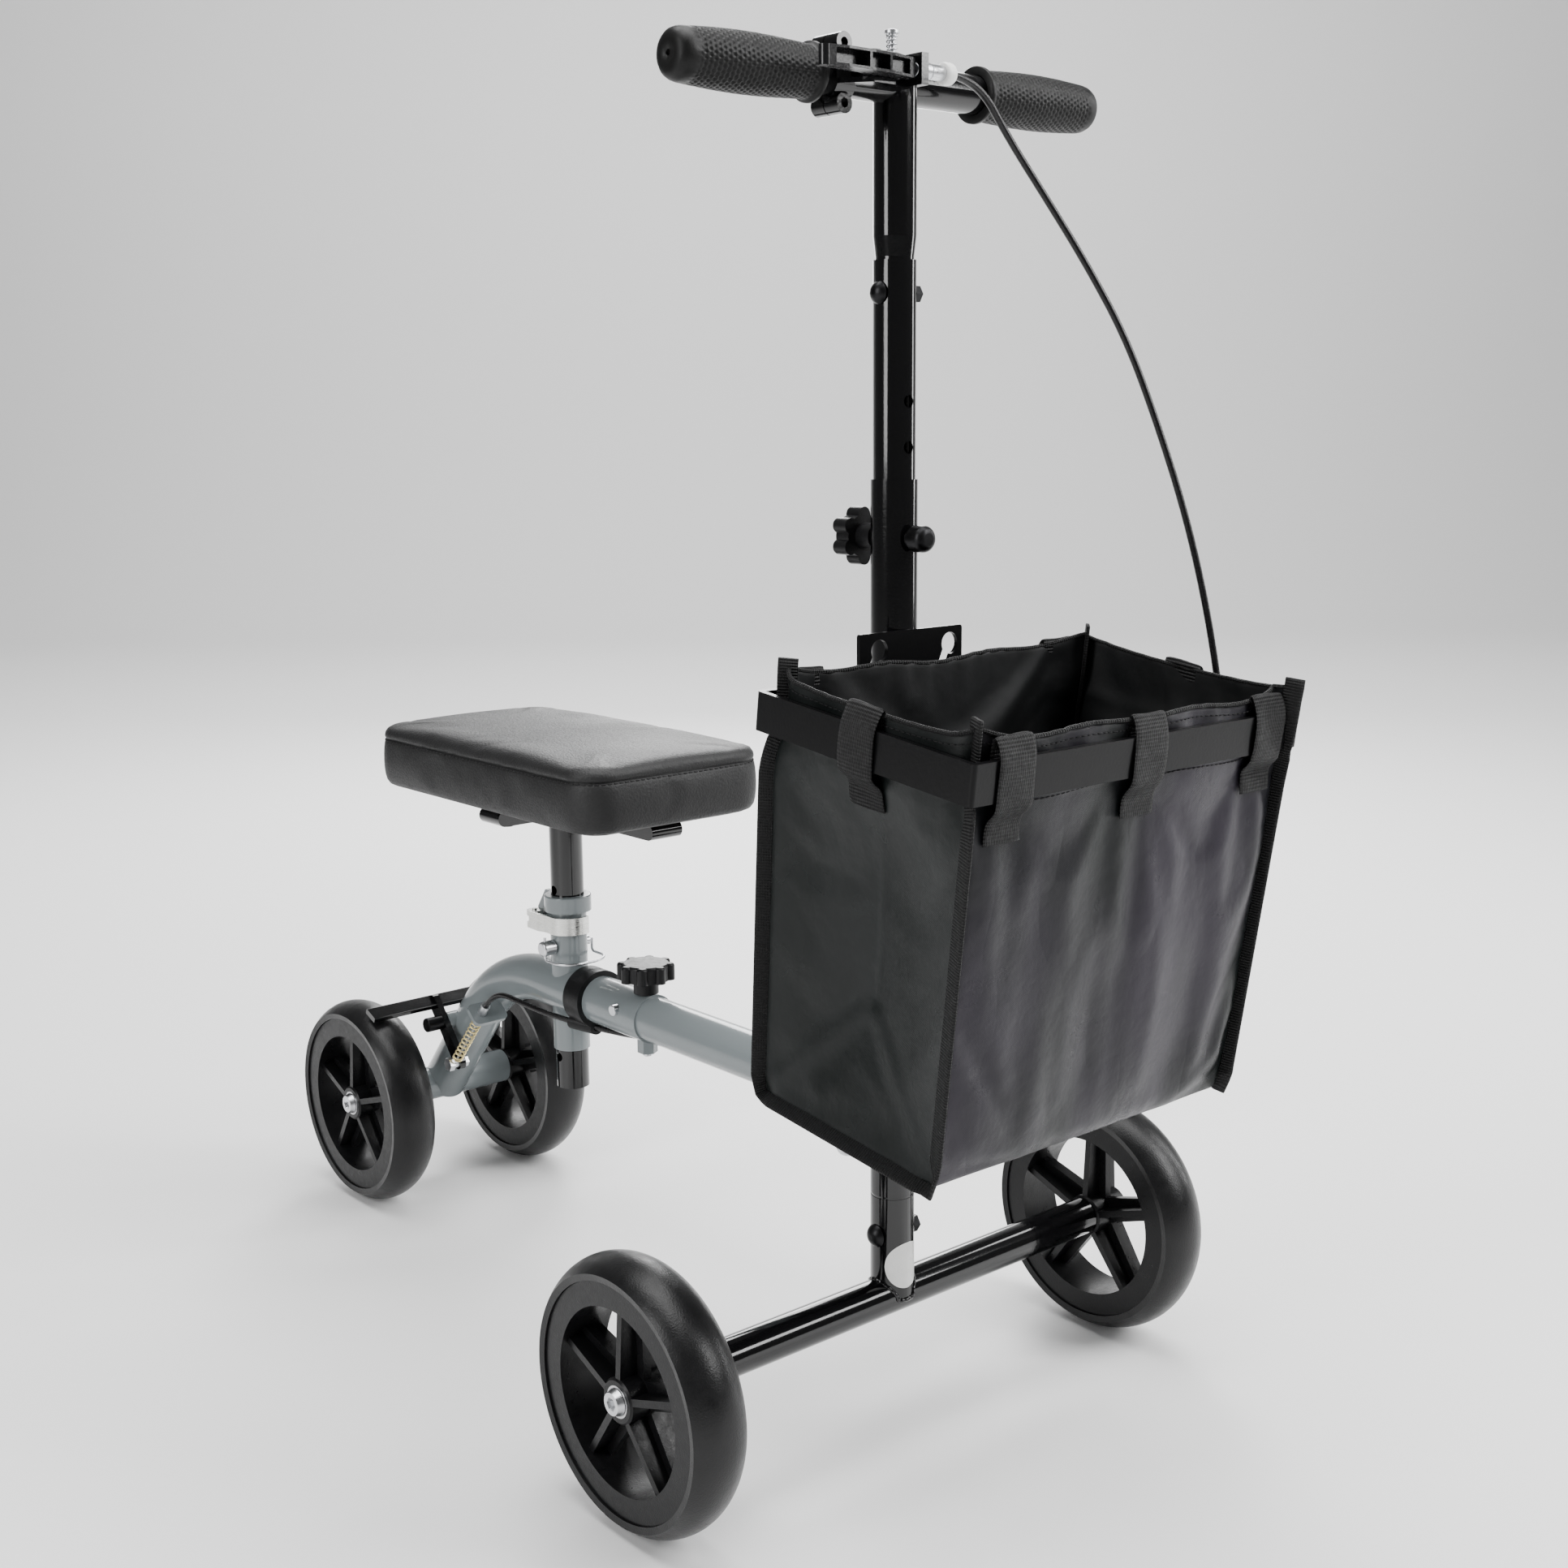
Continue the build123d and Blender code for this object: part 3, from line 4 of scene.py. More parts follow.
import bpy
from mathutils import Matrix, Vector, noise


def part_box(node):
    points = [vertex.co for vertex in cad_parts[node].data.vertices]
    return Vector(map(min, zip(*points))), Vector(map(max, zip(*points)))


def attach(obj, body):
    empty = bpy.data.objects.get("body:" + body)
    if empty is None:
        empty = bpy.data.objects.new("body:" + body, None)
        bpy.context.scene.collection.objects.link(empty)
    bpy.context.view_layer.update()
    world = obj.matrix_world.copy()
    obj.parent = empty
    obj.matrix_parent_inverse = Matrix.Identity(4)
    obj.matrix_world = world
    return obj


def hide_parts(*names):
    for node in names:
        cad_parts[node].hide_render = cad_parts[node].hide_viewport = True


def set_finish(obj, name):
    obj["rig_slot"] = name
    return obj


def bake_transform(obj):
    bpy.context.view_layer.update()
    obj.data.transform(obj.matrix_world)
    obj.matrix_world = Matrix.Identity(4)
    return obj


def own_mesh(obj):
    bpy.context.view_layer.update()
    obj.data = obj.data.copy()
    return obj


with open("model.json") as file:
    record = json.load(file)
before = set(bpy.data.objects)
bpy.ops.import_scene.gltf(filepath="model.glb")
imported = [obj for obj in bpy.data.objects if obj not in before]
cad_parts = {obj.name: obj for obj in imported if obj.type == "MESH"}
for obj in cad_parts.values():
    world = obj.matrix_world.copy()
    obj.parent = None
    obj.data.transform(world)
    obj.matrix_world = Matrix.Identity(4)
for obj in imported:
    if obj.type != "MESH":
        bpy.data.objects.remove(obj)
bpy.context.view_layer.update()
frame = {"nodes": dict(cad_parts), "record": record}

# Knee scooter. +X forward, +Y to the rider's left, +Z up, metres.
FRONT_X = (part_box("column_tube")[0].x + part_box("column_tube")[1].x) / 2
SEAT_X = (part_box("seat_post")[0].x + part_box("seat_post")[1].x) / 2

# ------------------------------------------------------------------ camera
camera_data = bpy.data.cameras.new("camera")
camera = bpy.data.objects.new("camera", camera_data)
bpy.context.scene.collection.objects.link(camera)
bpy.context.scene.camera = camera
camera_data.sensor_width = 36
camera_data.lens = 44.84
camera_data.shift_x = -0.0007
camera_data.shift_y = 0.0211
camera_data.clip_end = 60
eye = Vector((1.2158, -0.9214, 0.7243))
look = Vector((-0.7462, 0.6348, -0.2005)).normalized()
up = Vector((-0.1471, 0.1365, 0.9797))
right = look.cross(up).normalized()
up = right.cross(look)
camera.matrix_world = Matrix((
    (right.x, up.x, -look.x, eye.x),
    (right.y, up.y, -look.y, eye.y),
    (right.z, up.z, -look.z, eye.z),
    (0, 0, 0, 1),
))


# ------------------------------------------------------------------ materials
class Shader:
    """A node material with short calls for the nodes that every finish here uses."""

    def __init__(self, name, **constants):
        self.material = bpy.data.materials.new(name)
        self.material.use_nodes = True
        self.nodes = self.material.node_tree.nodes
        self.links = self.material.node_tree.links
        self.shader = self.nodes["Principled BSDF"]
        for key, value in constants.items():
            self.shader.inputs[key.replace("_", " ")].default_value = value
        self.spot = self.add("ShaderNodeTexCoord").outputs["Object"]

    def add(self, kind, **settings):
        node = self.nodes.new(kind)
        for key, value in settings.items():
            setattr(node, key, value)
        return node

    def put(self, socket, value):
        if isinstance(value, bpy.types.NodeSocket):
            self.links.new(value, socket)
        else:
            socket.default_value = value

    def math(self, operation, *values):
        node = self.add("ShaderNodeMath", operation=operation)
        for socket, value in zip(node.inputs, values):
            self.put(socket, value)
        return node.outputs[0]

    def noise(self, scale, detail=3, roughness=0.5, vector=None):
        node = self.add("ShaderNodeTexNoise")
        self.put(node.inputs["Vector"], vector or self.spot)
        node.inputs["Scale"].default_value = scale
        node.inputs["Detail"].default_value = detail
        node.inputs["Roughness"].default_value = roughness
        return node.outputs["Fac"]

    def cells(self, scale, feature):
        node = self.add("ShaderNodeTexVoronoi", feature=feature)
        self.put(node.inputs["Vector"], self.spot)
        node.inputs["Scale"].default_value = scale
        return node.outputs["Distance"]

    def ramp(self, value, low, high, to_low, to_high):
        node = self.add("ShaderNodeMapRange")
        for socket, number in zip(node.inputs[:5], (value, low, high, to_low, to_high)):
            self.put(socket, number)
        return node.outputs[0]

    def mix(self, factor, first, second):
        node = self.add("ShaderNodeMix", data_type="RGBA")
        self.put(node.inputs[0], factor)
        for socket, colour in zip(node.inputs[6:8], (first, second)):
            self.put(socket, colour if isinstance(colour, bpy.types.NodeSocket) else (*colour, 1))
        return node.outputs[2]

    def stretched(self, x, y, z):
        node = self.add("ShaderNodeMapping")
        self.put(node.inputs["Vector"], self.spot)
        node.inputs["Scale"].default_value = (x, y, z)
        return node.outputs[0]

    def colour(self, value):
        self.put(self.shader.inputs["Base Color"], value)

    def rough(self, value):
        self.put(self.shader.inputs["Roughness"], value)

    def bump(self, height, distance, strength=1.0):
        node = self.add("ShaderNodeBump")
        self.put(node.inputs["Height"], height)
        node.inputs["Distance"].default_value = distance
        node.inputs["Strength"].default_value = strength
        if self.shader.inputs["Normal"].links:
            self.put(node.inputs["Normal"], self.shader.inputs["Normal"].links[0].from_socket)
        self.put(self.shader.inputs["Normal"], node.outputs[0])


def enamel(name, colour, spread, gloss, peel, shine=0.4):
    """Sprayed enamel: faint orange peel, a little shade drift and handling haze in the gloss."""
    s = Shader(name, Coat_Weight=shine, Coat_Roughness=0.06, Specular_IOR_Level=0.3 if shine > 0.1 else 0.12)
    drift = s.noise(14, 4)
    s.colour(s.mix(drift, tuple(c * (1 - spread) for c in colour), tuple(c * (1 + spread) for c in colour)))
    s.rough(s.ramp(s.noise(60, 5, 0.65), 0.3, 0.75, gloss, gloss + 0.03))
    s.bump(s.noise(520, 2), 0.00006 * peel)
    return s.material


def plated(name, colour, grain, rough):
    """Zinc or bare metal: fine brushed grain with cloudy passivation."""
    s = Shader(name, Metallic=1.0)
    streak = s.noise(90, 4, 0.6, s.stretched(*grain))
    cloud = s.noise(160, 4)
    s.colour(s.mix(cloud, tuple(c * 0.78 for c in colour), colour))
    s.rough(s.ramp(streak, 0.25, 0.8, rough, rough + 0.22))
    s.bump(streak, 0.00005)
    return s.material


def moulded(name, colour, rough, grain, gloss=0.0):
    """Moulded plastic or rubber with a fine spark-eroded grain."""
    s = Shader(name, Coat_Weight=gloss, Coat_Roughness=0.2, Specular_IOR_Level=0.2)
    s.colour(s.mix(s.noise(35, 4), tuple(c * 0.8 for c in colour), tuple(c * 1.25 for c in colour)))
    s.rough(s.ramp(s.noise(220, 3), 0.3, 0.7, rough - 0.05, rough + 0.09))
    s.bump(s.noise(grain, 3), 0.00012)
    return s.material


grey_paint = enamel("grey_paint", (0.166, 0.188, 0.194), 0.012, 0.24, 0.8)
black_paint = enamel("black_paint", (0.0025, 0.0025, 0.0028), 0.3, 0.10, 0.6)
satin_black = enamel("satin_black", (0.003, 0.003, 0.0033), 0.3, 0.3, 1.2, 0.08)
black_bolt = plated("black_bolt", (0.022, 0.022, 0.023), (1, 1, 1), 0.28)
zinc = plated("zinc_bolt", (0.72, 0.73, 0.75), (1, 1, 1), 0.22)
bearing_steel = plated("bearing_steel", (0.6, 0.6, 0.61), (1, 12, 1), 0.2)
wire_steel = plated("wire_steel", (0.58, 0.58, 0.57), (1, 1, 9), 0.3)
lever_steel = plated("lever_steel", (0.74, 0.74, 0.71), (1, 1, 14), 0.16)
spring_zinc = plated("spring_zinc", (0.86, 0.72, 0.36), (1, 1, 1), 0.25)
black_plastic = moulded("black_plastic", (0.006, 0.006, 0.0065), 0.34, 900)
lever_plastic = moulded("lever_plastic", (0.006, 0.006, 0.0065), 0.22, 700, 0.4)
rim_plastic = moulded("rim_plastic", (0.005, 0.005, 0.0055), 0.32, 800)
white_plastic = moulded("white_plastic", (0.80, 0.80, 0.78), 0.3, 500, 0.1)
housing = moulded("cable_housing", (0.005, 0.0045, 0.005), 0.26, 2600, 0.3)
grip_rubber = moulded("grip_rubber", (0.004, 0.004, 0.004), 0.42, 1400)


def make_tyre():
    """Solid rubber tyre: scuffed, mottled colour and gloss, with fine and coarse bumps."""
    s = Shader("tyre", Specular_IOR_Level=0.28)
    s.colour(s.mix(s.noise(50, 5), (0.004, 0.004, 0.0043), (0.009, 0.009, 0.0095)))
    s.rough(s.ramp(s.noise(130, 5, 0.7), 0.3, 0.75, 0.27, 0.42))
    s.bump(s.noise(850, 3), 0.00016)
    s.bump(s.noise(40, 2), 0.0004)
    return s.material


def make_vinyl():
    """Leather-grain vinyl: pebbled cells, soft creases, polished high spots."""
    s = Shader("seat_vinyl", Specular_IOR_Level=0.35)
    pebble = s.cells(620, "SMOOTH_F1")
    crease = s.noise(22, 4, 0.55, s.stretched(1, 2.4, 1))
    s.colour(s.mix(s.noise(11, 4), (0.005, 0.005, 0.0053), (0.011, 0.011, 0.0112)))
    s.rough(s.ramp(s.math("ADD", pebble, s.noise(9, 3)), 0.4, 1.3, 0.46, 0.62))
    s.bump(pebble, 0.0005, 0.5)
    s.bump(s.noise(1700, 2), 0.0002, 0.6)
    s.bump(crease, 0.0004, 0.5)
    return s.material


THREAD_PITCH = (0.0011, 0.0008)
THREAD_DEPTH = 0.00004


def woven(name, light, dark, rough, crinkle):
    """Woven cloth: warp and weft from the cloth's own coordinates, in metres."""
    s = Shader(name, Specular_IOR_Level=0.2)
    threads = s.add("ShaderNodeUVMap", uv_map="cloth").outputs[0]
    split = s.add("ShaderNodeSeparateXYZ")
    s.put(split.inputs[0], threads)
    across = s.math("SINE", s.math("MULTIPLY", split.outputs[0], math.tau / THREAD_PITCH[0]))
    along = s.math("SINE", s.math("MULTIPLY", split.outputs[1], math.tau / THREAD_PITCH[1]))
    weave = s.math("MULTIPLY", across, along)
    # random patches between the dark and the light colour; where the light colour is a painted sheen, as on the bag's
    # outer fabric, the patches are painted sheen
    patches = s.noise(9, 3, 0.5, s.stretched(1.2, 1.2, 0.4))
    # the weave adds a little to the tone: painted shade between the threads
    tone = s.math("ADD", patches, s.math("MULTIPLY", weave, 0.05))
    s.colour(s.mix(s.ramp(tone, 0.38, 0.66, 0, 1), dark, light))
    s.rough(s.ramp(s.noise(24, 4), 0.3, 0.7, rough - 0.06, rough + 0.08))
    s.bump(weave, THREAD_DEPTH)
    folds = s.noise(9, 3, 0.5, s.stretched(1, 1, 0.45))
    ridge = s.math("ABSOLUTE", s.math("SUBTRACT", folds, 0.5))
    s.bump(ridge, crinkle * 4)
    s.bump(s.noise(26, 4, 0.55), crinkle)
    return s.material


def webbing(name, rib, depth, colour):
    """Narrow woven tape: strong ribs across it, fine threads along it."""
    s = Shader(name, Specular_IOR_Level=0.3)
    split = s.add("ShaderNodeSeparateXYZ")
    s.put(split.inputs[0], s.add("ShaderNodeUVMap", uv_map="cloth").outputs[0])
    ribs = s.math("SINE", s.math("MULTIPLY", split.outputs[1], math.tau / rib))
    wobble = s.math("MULTIPLY", s.noise(420, 2), 3)
    threads = s.math("SINE", s.math("ADD", s.math("MULTIPLY", split.outputs[0], math.tau / (rib * 0.55)), wobble))
    height = s.math("ADD", ribs, s.math("MULTIPLY", threads, 0.45))
    # the colour follows the ribs' height, with the troughs at 35 %: painted shade in the weave
    s.colour(s.mix(s.ramp(height, -1.2, 1.3, 0, 1), tuple(c * 0.35 for c in colour), colour))
    s.rough(s.ramp(s.noise(300, 3), 0.3, 0.7, 0.55, 0.72))
    s.bump(height, depth)
    return s.material


tyre = make_tyre()
vinyl = make_vinyl()
# the bag's outer fabric: its light colour, a purple grey, is a painted sheen; its dark colour is the cloth's own
# green-black
nylon_with_painted_sheen = woven("bag_fabric", (0.022, 0.0185, 0.0265), (0.0022, 0.0036, 0.0033), 0.31, 0.0014)
# the side panels' copy of the bag's fabric, darker and with no purple: painted shade
side_nylon_painted_shade = woven("bag_side_fabric_painted_shade", (0.0085, 0.0100, 0.0100), (0.0016, 0.0030, 0.0026), 0.31, 0.0014)
lining = woven("bag_lining", (0.007, 0.0075, 0.008), (0.0035, 0.0038, 0.004), 0.5, 0.0012)
strap_tape = webbing("strap_webbing", 0.0023, 0.0005, (0.009, 0.009, 0.0093))
edge_tape = webbing("edge_binding", 0.0019, 0.0005, (0.007, 0.007, 0.0073))


def plywood_material():
    """Black-stained plywood: long grain with the plies' bands."""
    s = Shader("plywood")
    bands = s.noise(40, 6, 0.6, s.stretched(0.15, 3, 12))
    s.colour(s.mix(bands, (0.010, 0.009, 0.008), (0.022, 0.019, 0.016)))
    s.rough(s.ramp(bands, 0.3, 0.7, 0.55, 0.75))
    s.bump(bands, 0.0002)
    return s.material


by_slot = {
    "grey_paint": grey_paint,
    "black_paint": black_paint,
    "tyre": tyre,
    "rim_plastic": rim_plastic,
    "bearing_steel": bearing_steel,
    "zinc_bolt": zinc,
    "black_bolt": black_bolt,
    "black_plastic": black_plastic,
    "white_plastic": white_plastic,
    "grip_rubber": grip_rubber,
    "seat_vinyl": vinyl,
    "plywood": plywood_material(),
    "bag_fabric": nylon_with_painted_sheen,
    "cable_housing": housing,
    "wire_steel": wire_steel,
    "spring_zinc": spring_zinc,
}
by_node = {
    "seat_clamp_lever": lever_steel,
    "brake_lever": lever_plastic,
    "basket_frame": satin_black,
    "keyhole_plate": satin_black,
}
for part in frame["record"]["subparts"]:
    shown = frame["nodes"][part["node"]]
    shown.data.materials.clear()
    shown.data.materials.append(by_node.get(part["node"], by_slot[part["material_slot"]]))


# ------------------------------------------------------------------ mesh helpers
def piece(name, vertices, faces, material, slot, body=None, uv=None):
    """A mesh object from vertices and faces in the row frame; uv holds one (u, v) in metres per vertex."""
    mesh = bpy.data.meshes.new(name)
    mesh.from_pydata([tuple(v) for v in vertices], [], faces)
    mesh.materials.append(material)
    if uv is not None:
        layer = mesh.uv_layers.new(name="cloth")
        for loop in mesh.loops:
            layer.data[loop.index].uv = uv[loop.vertex_index]
    mesh.shade_smooth()
    made = bpy.data.objects.new(name, mesh)
    bpy.context.scene.collection.objects.link(made)
    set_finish(made, slot)
    if body:
        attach(made, body)
    return made


def curve(name, points, radius, material, slot):
    """A round cord on one NURBS spline through given control points."""
    data = bpy.data.curves.new(name, "CURVE")
    data.dimensions = "3D"
    data.bevel_depth = radius
    data.bevel_resolution = 5
    data.resolution_u = 10
    data.use_fill_caps = True
    line = data.splines.new("NURBS")
    line.points.add(len(points) - 1)
    for spot, where in zip(line.points, points):
        spot.co = (*where, 1)
    line.order_u = 3
    line.use_endpoint_u = True
    data.materials.append(material)
    made = bpy.data.objects.new(name, data)
    bpy.context.scene.collection.objects.link(made)
    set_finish(made, slot)
    return made


def as_mesh(made):
    """Turn a curve object into a mesh object with the same name."""
    baked = bpy.data.meshes.new_from_object(made.evaluated_get(bpy.context.evaluated_depsgraph_get()))
    name = made.name
    slot = made["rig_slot"]
    bpy.data.objects.remove(made)
    kept = bpy.data.objects.new(name, baked)
    baked.shade_smooth()
    bpy.context.scene.collection.objects.link(kept)
    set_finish(kept, slot)
    return kept


def ring_faces(rings, around, closed=False, caps=True):
    """Faces that join each ring of points to the next, and close both ends unless the rings make a loop."""
    faces = []
    for i in range(rings if closed else rings - 1):
        here, there = i * around, (i + 1) % rings * around
        for k in range(around):
            beside = (k + 1) % around
            faces.append((here + k, here + beside, there + beside, there + k))
    if caps and not closed:
        faces.append(tuple(range(around - 1, -1, -1)))
        faces.append(tuple((rings - 1) * around + k for k in range(around)))
    return faces


def turned_over(face):
    """A face seen from its other side, with the same first corner."""
    return face[:1] + face[:0:-1]


def tube_mesh(path, radius, around, closed=False):
    """Vertices and faces of a round tube along a list of points; radius may be a list."""
    path = [Vector(p) for p in path]
    count = len(path)
    radii = radius if isinstance(radius, (list, tuple)) else [radius] * count
    vertices = []
    normal = None
    for i, here in enumerate(path):
        before = path[i - 1] if i or closed else here
        after = path[(i + 1) % count] if i < count - 1 or closed else here
        ahead = (after - before).normalized()
        if normal is None:
            normal = ahead.orthogonal().normalized()
        normal = (normal - ahead * normal.dot(ahead)).normalized()
        side = ahead.cross(normal)
        for k in range(around):
            turn = math.tau * k / around
            vertices.append(here + (normal * math.cos(turn) + side * math.sin(turn)) * radii[i])
    return vertices, ring_faces(count, around, closed)


def join_meshes(parts):
    """One vertex and face list from several."""
    vertices, faces = [], []
    for more_vertices, more_faces in parts:
        base = len(vertices)
        vertices += list(more_vertices)
        faces += [tuple(base + i for i in face) for face in more_faces]
    return vertices, faces


def smoothstep(low, high, value):
    """0 at low, 1 at high, with a soft start and end."""
    t = min(max((value - low) / (high - low), 0), 1)
    return t * t * (3 - 2 * t)


# ------------------------------------------------------------------ brake cable
CABLE_RADIUS = 0.0025
route = [
    (0.038, 0.009, 0.937), (0.038, 0.036, 0.937), (0.040, 0.066, 0.901), (0.052, 0.088, 0.866),
    (0.069, 0.110, 0.824), (0.087, 0.132, 0.775), (0.103, 0.148, 0.718), (0.118, 0.162, 0.658),
    (0.131, 0.171, 0.597), (0.141, 0.177, 0.535), (0.147, 0.181, 0.472), (0.145, 0.183, 0.409),
    (0.130, 0.182, 0.350), (0.103, 0.173, 0.298), (0.066, 0.155, 0.258), (0.022, 0.126, 0.232),
    (-0.024, 0.092, 0.216), (-0.072, 0.058, 0.209), (-0.122, 0.032, 0.209), (-0.178, 0.017, 0.2125),
    (-0.238, 0.012, 0.214), (-0.295, 0.014, 0.2135), (-0.345, 0.001, 0.211), (-0.400, -0.022, 0.217),
    (-0.438, -0.030, 0.222), (-0.478, -0.0345, 0.226), (-0.4956, -0.0345, 0.2055),
]
route = [Vector((x + FRONT_X, y, z)) for x, y, z in route]


def centreline(made):
    """Points along a curve's own line, read from it with its thickness off."""
    thick = made.data.bevel_depth
    made.data.bevel_depth = 0
    bpy.context.view_layer.update()
    line = bpy.data.meshes.new_from_object(made.evaluated_get(bpy.context.evaluated_depsgraph_get()))
    points = [v.co.copy() for v in line.vertices]
    bpy.data.meshes.remove(line)
    made.data.bevel_depth = thick
    bpy.context.view_layer.update()
    return points


def cable_piece(name, points):
    """One stretch of the brake cable, as a mesh from start to end."""
    made = curve(name, points, CABLE_RADIUS, housing, "cable_housing")
    line = centreline(made)
    made = as_mesh(made)
    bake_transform(made)
    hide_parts("brake_cable")


# the stretches meet beside the bag, halfway between two of the route's points
MEETS = 9
halfway = (route[MEETS] + route[MEETS + 1]) / 2
cable_piece("brake_cable_upper", route[:MEETS + 1] + [halfway])
cable_piece("brake_cable_lower", [halfway] + route[MEETS + 1:])

# inner wire and its return spring, between the stop and the pinch bolt
pinch_lo, pinch_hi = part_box("pinch_bolt")
pinch = Vector(((pinch_lo.x + pinch_hi.x) / 2, route[-1].y, (pinch_lo.z + pinch_hi.z) / 2))
down = (pinch - route[-2]).normalized()
wire_start = route[-2] + down * 0.028
wire_end = pinch + down * 0.009
WIRE_STEPS = 24
wire_line = [wire_start.lerp(wire_end, i / WIRE_STEPS) for i in range(WIRE_STEPS + 1)]
wire = piece("brake_wire_strand", *tube_mesh(wire_line, 0.0009, 8), wire_steel, "wire_steel")
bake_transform(wire)
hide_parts("brake_wire")


COIL_STEPS = 16


def helix(start, end, radius, wire_radius, turns):
    """Vertices and faces of a coil spring from start to end, with one close turn at each end."""
    axis = end - start
    length = axis.length
    axis = axis / length
    side = axis.orthogonal().normalized()
    other = axis.cross(side)
    closed_rise = wire_radius * 2.2
    open_rise = (length - 2 * closed_rise) / turns
    points = []
    for i in range(int((turns + 2) * COIL_STEPS) + 1):
        t = i / COIL_STEPS
        rise = min(t, 1) * closed_rise
        rise += min(max(t - 1, 0), turns) * open_rise
        rise += max(t - 1 - turns, 0) * closed_rise
        turn = math.tau * t
        points.append(start + axis * rise + (side * math.cos(turn) + other * math.sin(turn)) * radius)
    return tube_mesh(points, wire_radius, 8)


spring_from = wire_start + down * 0.020
spring_to = pinch - down * 0.0085
return_coil = piece("return_spring_coil", *helix(spring_from, spring_to, 0.0044, 0.0007, 9), spring_zinc, "spring_zinc")
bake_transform(return_coil)
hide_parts("return_spring")

plunger_lo, plunger_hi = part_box("park_plunger")
plunger = Vector(((plunger_lo.x + plunger_hi.x) / 2, (plunger_lo.y + plunger_hi.y) / 2, 0))
PERCH_TOP = 0.9466
plunger_coil = piece(
    "park_plunger_spring",
    *helix(plunger + Vector((0, 0, PERCH_TOP + 0.0006)), plunger + Vector((0, 0, plunger_hi.z - 0.0032)), 0.0033,
           0.0005, 3.5),
    zinc, "zinc_bolt", "mast",
)
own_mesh(plunger_coil)


# ------------------------------------------------------------------ cloth
def simulate(made, held, frames, pressure, slack, gravity, cap, bending=0.4):
    """Cloth run on a mesh: held vertices stay, the rest settle, and none moves further than cap."""
    mesh = made.data
    start = [v.co.copy() for v in mesh.vertices]
    group = made.vertex_groups.new(name="held")
    for index, weight in enumerate(held):
        if weight > 0:
            group.add([index], weight, "REPLACE")
    cloth = made.modifiers.new("cloth", "CLOTH")
    settings = cloth.settings
    settings.quality = 6
    settings.mass = 0.2
    settings.tension_stiffness = 18
    settings.compression_stiffness = 18
    settings.shear_stiffness = 6
    settings.bending_stiffness = bending
    settings.vertex_group_mass = "held"
    settings.shrink_min = -slack
    settings.use_pressure = pressure > 0
    settings.uniform_pressure_force = pressure
    settings.effector_weights.gravity = gravity
    cloth.collision_settings.use_collision = False
    cloth.point_cache.frame_start = 1
    cloth.point_cache.frame_end = frames
    scene = bpy.context.scene
    for step in range(1, frames + 1):
        scene.frame_set(step)
    settled = made.evaluated_get(bpy.context.evaluated_depsgraph_get()).data
    moved = [v.co.copy() for v in settled.vertices]
    made.modifiers.remove(cloth)
    made.vertex_groups.remove(group)
    scene.frame_set(1)
    for vertex, before, after in zip(mesh.vertices, start, moved):
        shift = after - before
        if shift.length > cap:
            shift = shift.normalized() * cap
        vertex.co = before + shift
    mesh.update()


# ------------------------------------------------------------------ knee pad
pad_lo, pad_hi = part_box("seat_pad")
PAD_HALF_LENGTH = (pad_hi.x - pad_lo.x) / 2
PAD_HALF_WIDTH = (pad_hi.y - pad_lo.y) / 2
PAD_CORNER = 0.031
CORNER_STEPS = 10
LONG_STEPS = 38
SHORT_STEPS = 18


def pad_outline(inset):
    """Points of a rounded rectangle drawn in by inset, always the same number, counter-clockwise."""
    half_x = PAD_HALF_LENGTH - inset
    half_y = PAD_HALF_WIDTH - inset
    radius = min(max(PAD_CORNER - inset * 0.8, 0.010), half_y * 0.8)
    points = []
    for turn, steps in ((0, SHORT_STEPS), (1, LONG_STEPS), (2, SHORT_STEPS), (3, LONG_STEPS)):
        sx = 1 if turn in (0, 3) else -1
        sy = 1 if turn in (0, 1) else -1
        centre = Vector((sx * (half_x - radius), sy * (half_y - radius)))
        for k in range(CORNER_STEPS):
            angle = math.radians(90 * turn + 90 * k / CORNER_STEPS)
            points.append(centre + Vector((math.cos(angle), math.sin(angle))) * radius)
        angle = math.radians(90 * (turn + 1))
        here = centre + Vector((math.cos(angle), math.sin(angle))) * radius
        next_sx = 1 if turn in (2, 3) else -1
        next_sy = 1 if turn in (0, 3) else -1
        next_centre = Vector((next_sx * (half_x - radius), next_sy * (half_y - radius)))
        there = next_centre + Vector((math.cos(angle), math.sin(angle))) * radius
        span = LONG_STEPS if turn in (0, 2) else SHORT_STEPS
        for k in range(span):
            points.append(here.lerp(there, k / span))
    return points


# (inset, height) of the pad's rings, from its underside up over the seam to its top
PAD_PROFILE = [
    (0.060, 0.4085), (0.030, 0.4083), (0.014, 0.4082), (0.008, 0.4086), (0.0040, 0.4105), (0.0018, 0.4140),
    (0.0007, 0.4190), (0.0001, 0.4250), (0.0, 0.4310), (0.0002, 0.4370), (0.0006, 0.4425), (0.0012, 0.4470),
    (0.0020, 0.4492), (0.0036, 0.4503), (0.0022, 0.4514), (0.0016, 0.4532), (0.0022, 0.4562), (0.0042, 0.4592),
    (0.0078, 0.4613), (0.0130, 0.4625), (0.0200, 0.4632), (0.0290, 0.4637), (0.0400, 0.4641), (0.0520, 0.4644),
    (0.0650, 0.4646), (0.0780, 0.4647),
]
SEAM_RING = 13
PINNED_BELOW = 4
PINNED_ON_TOP = 4
pad_vertices = []
for inset, height in PAD_PROFILE:
    for x, y in pad_outline(inset):
        pad_vertices.append(Vector((x + SEAT_X, y, height)))
PAD_AROUND = len(pad_outline(0))
cushion = piece("knee_pad_cover", pad_vertices, ring_faces(len(PAD_PROFILE), PAD_AROUND), vinyl, "seat_vinyl")
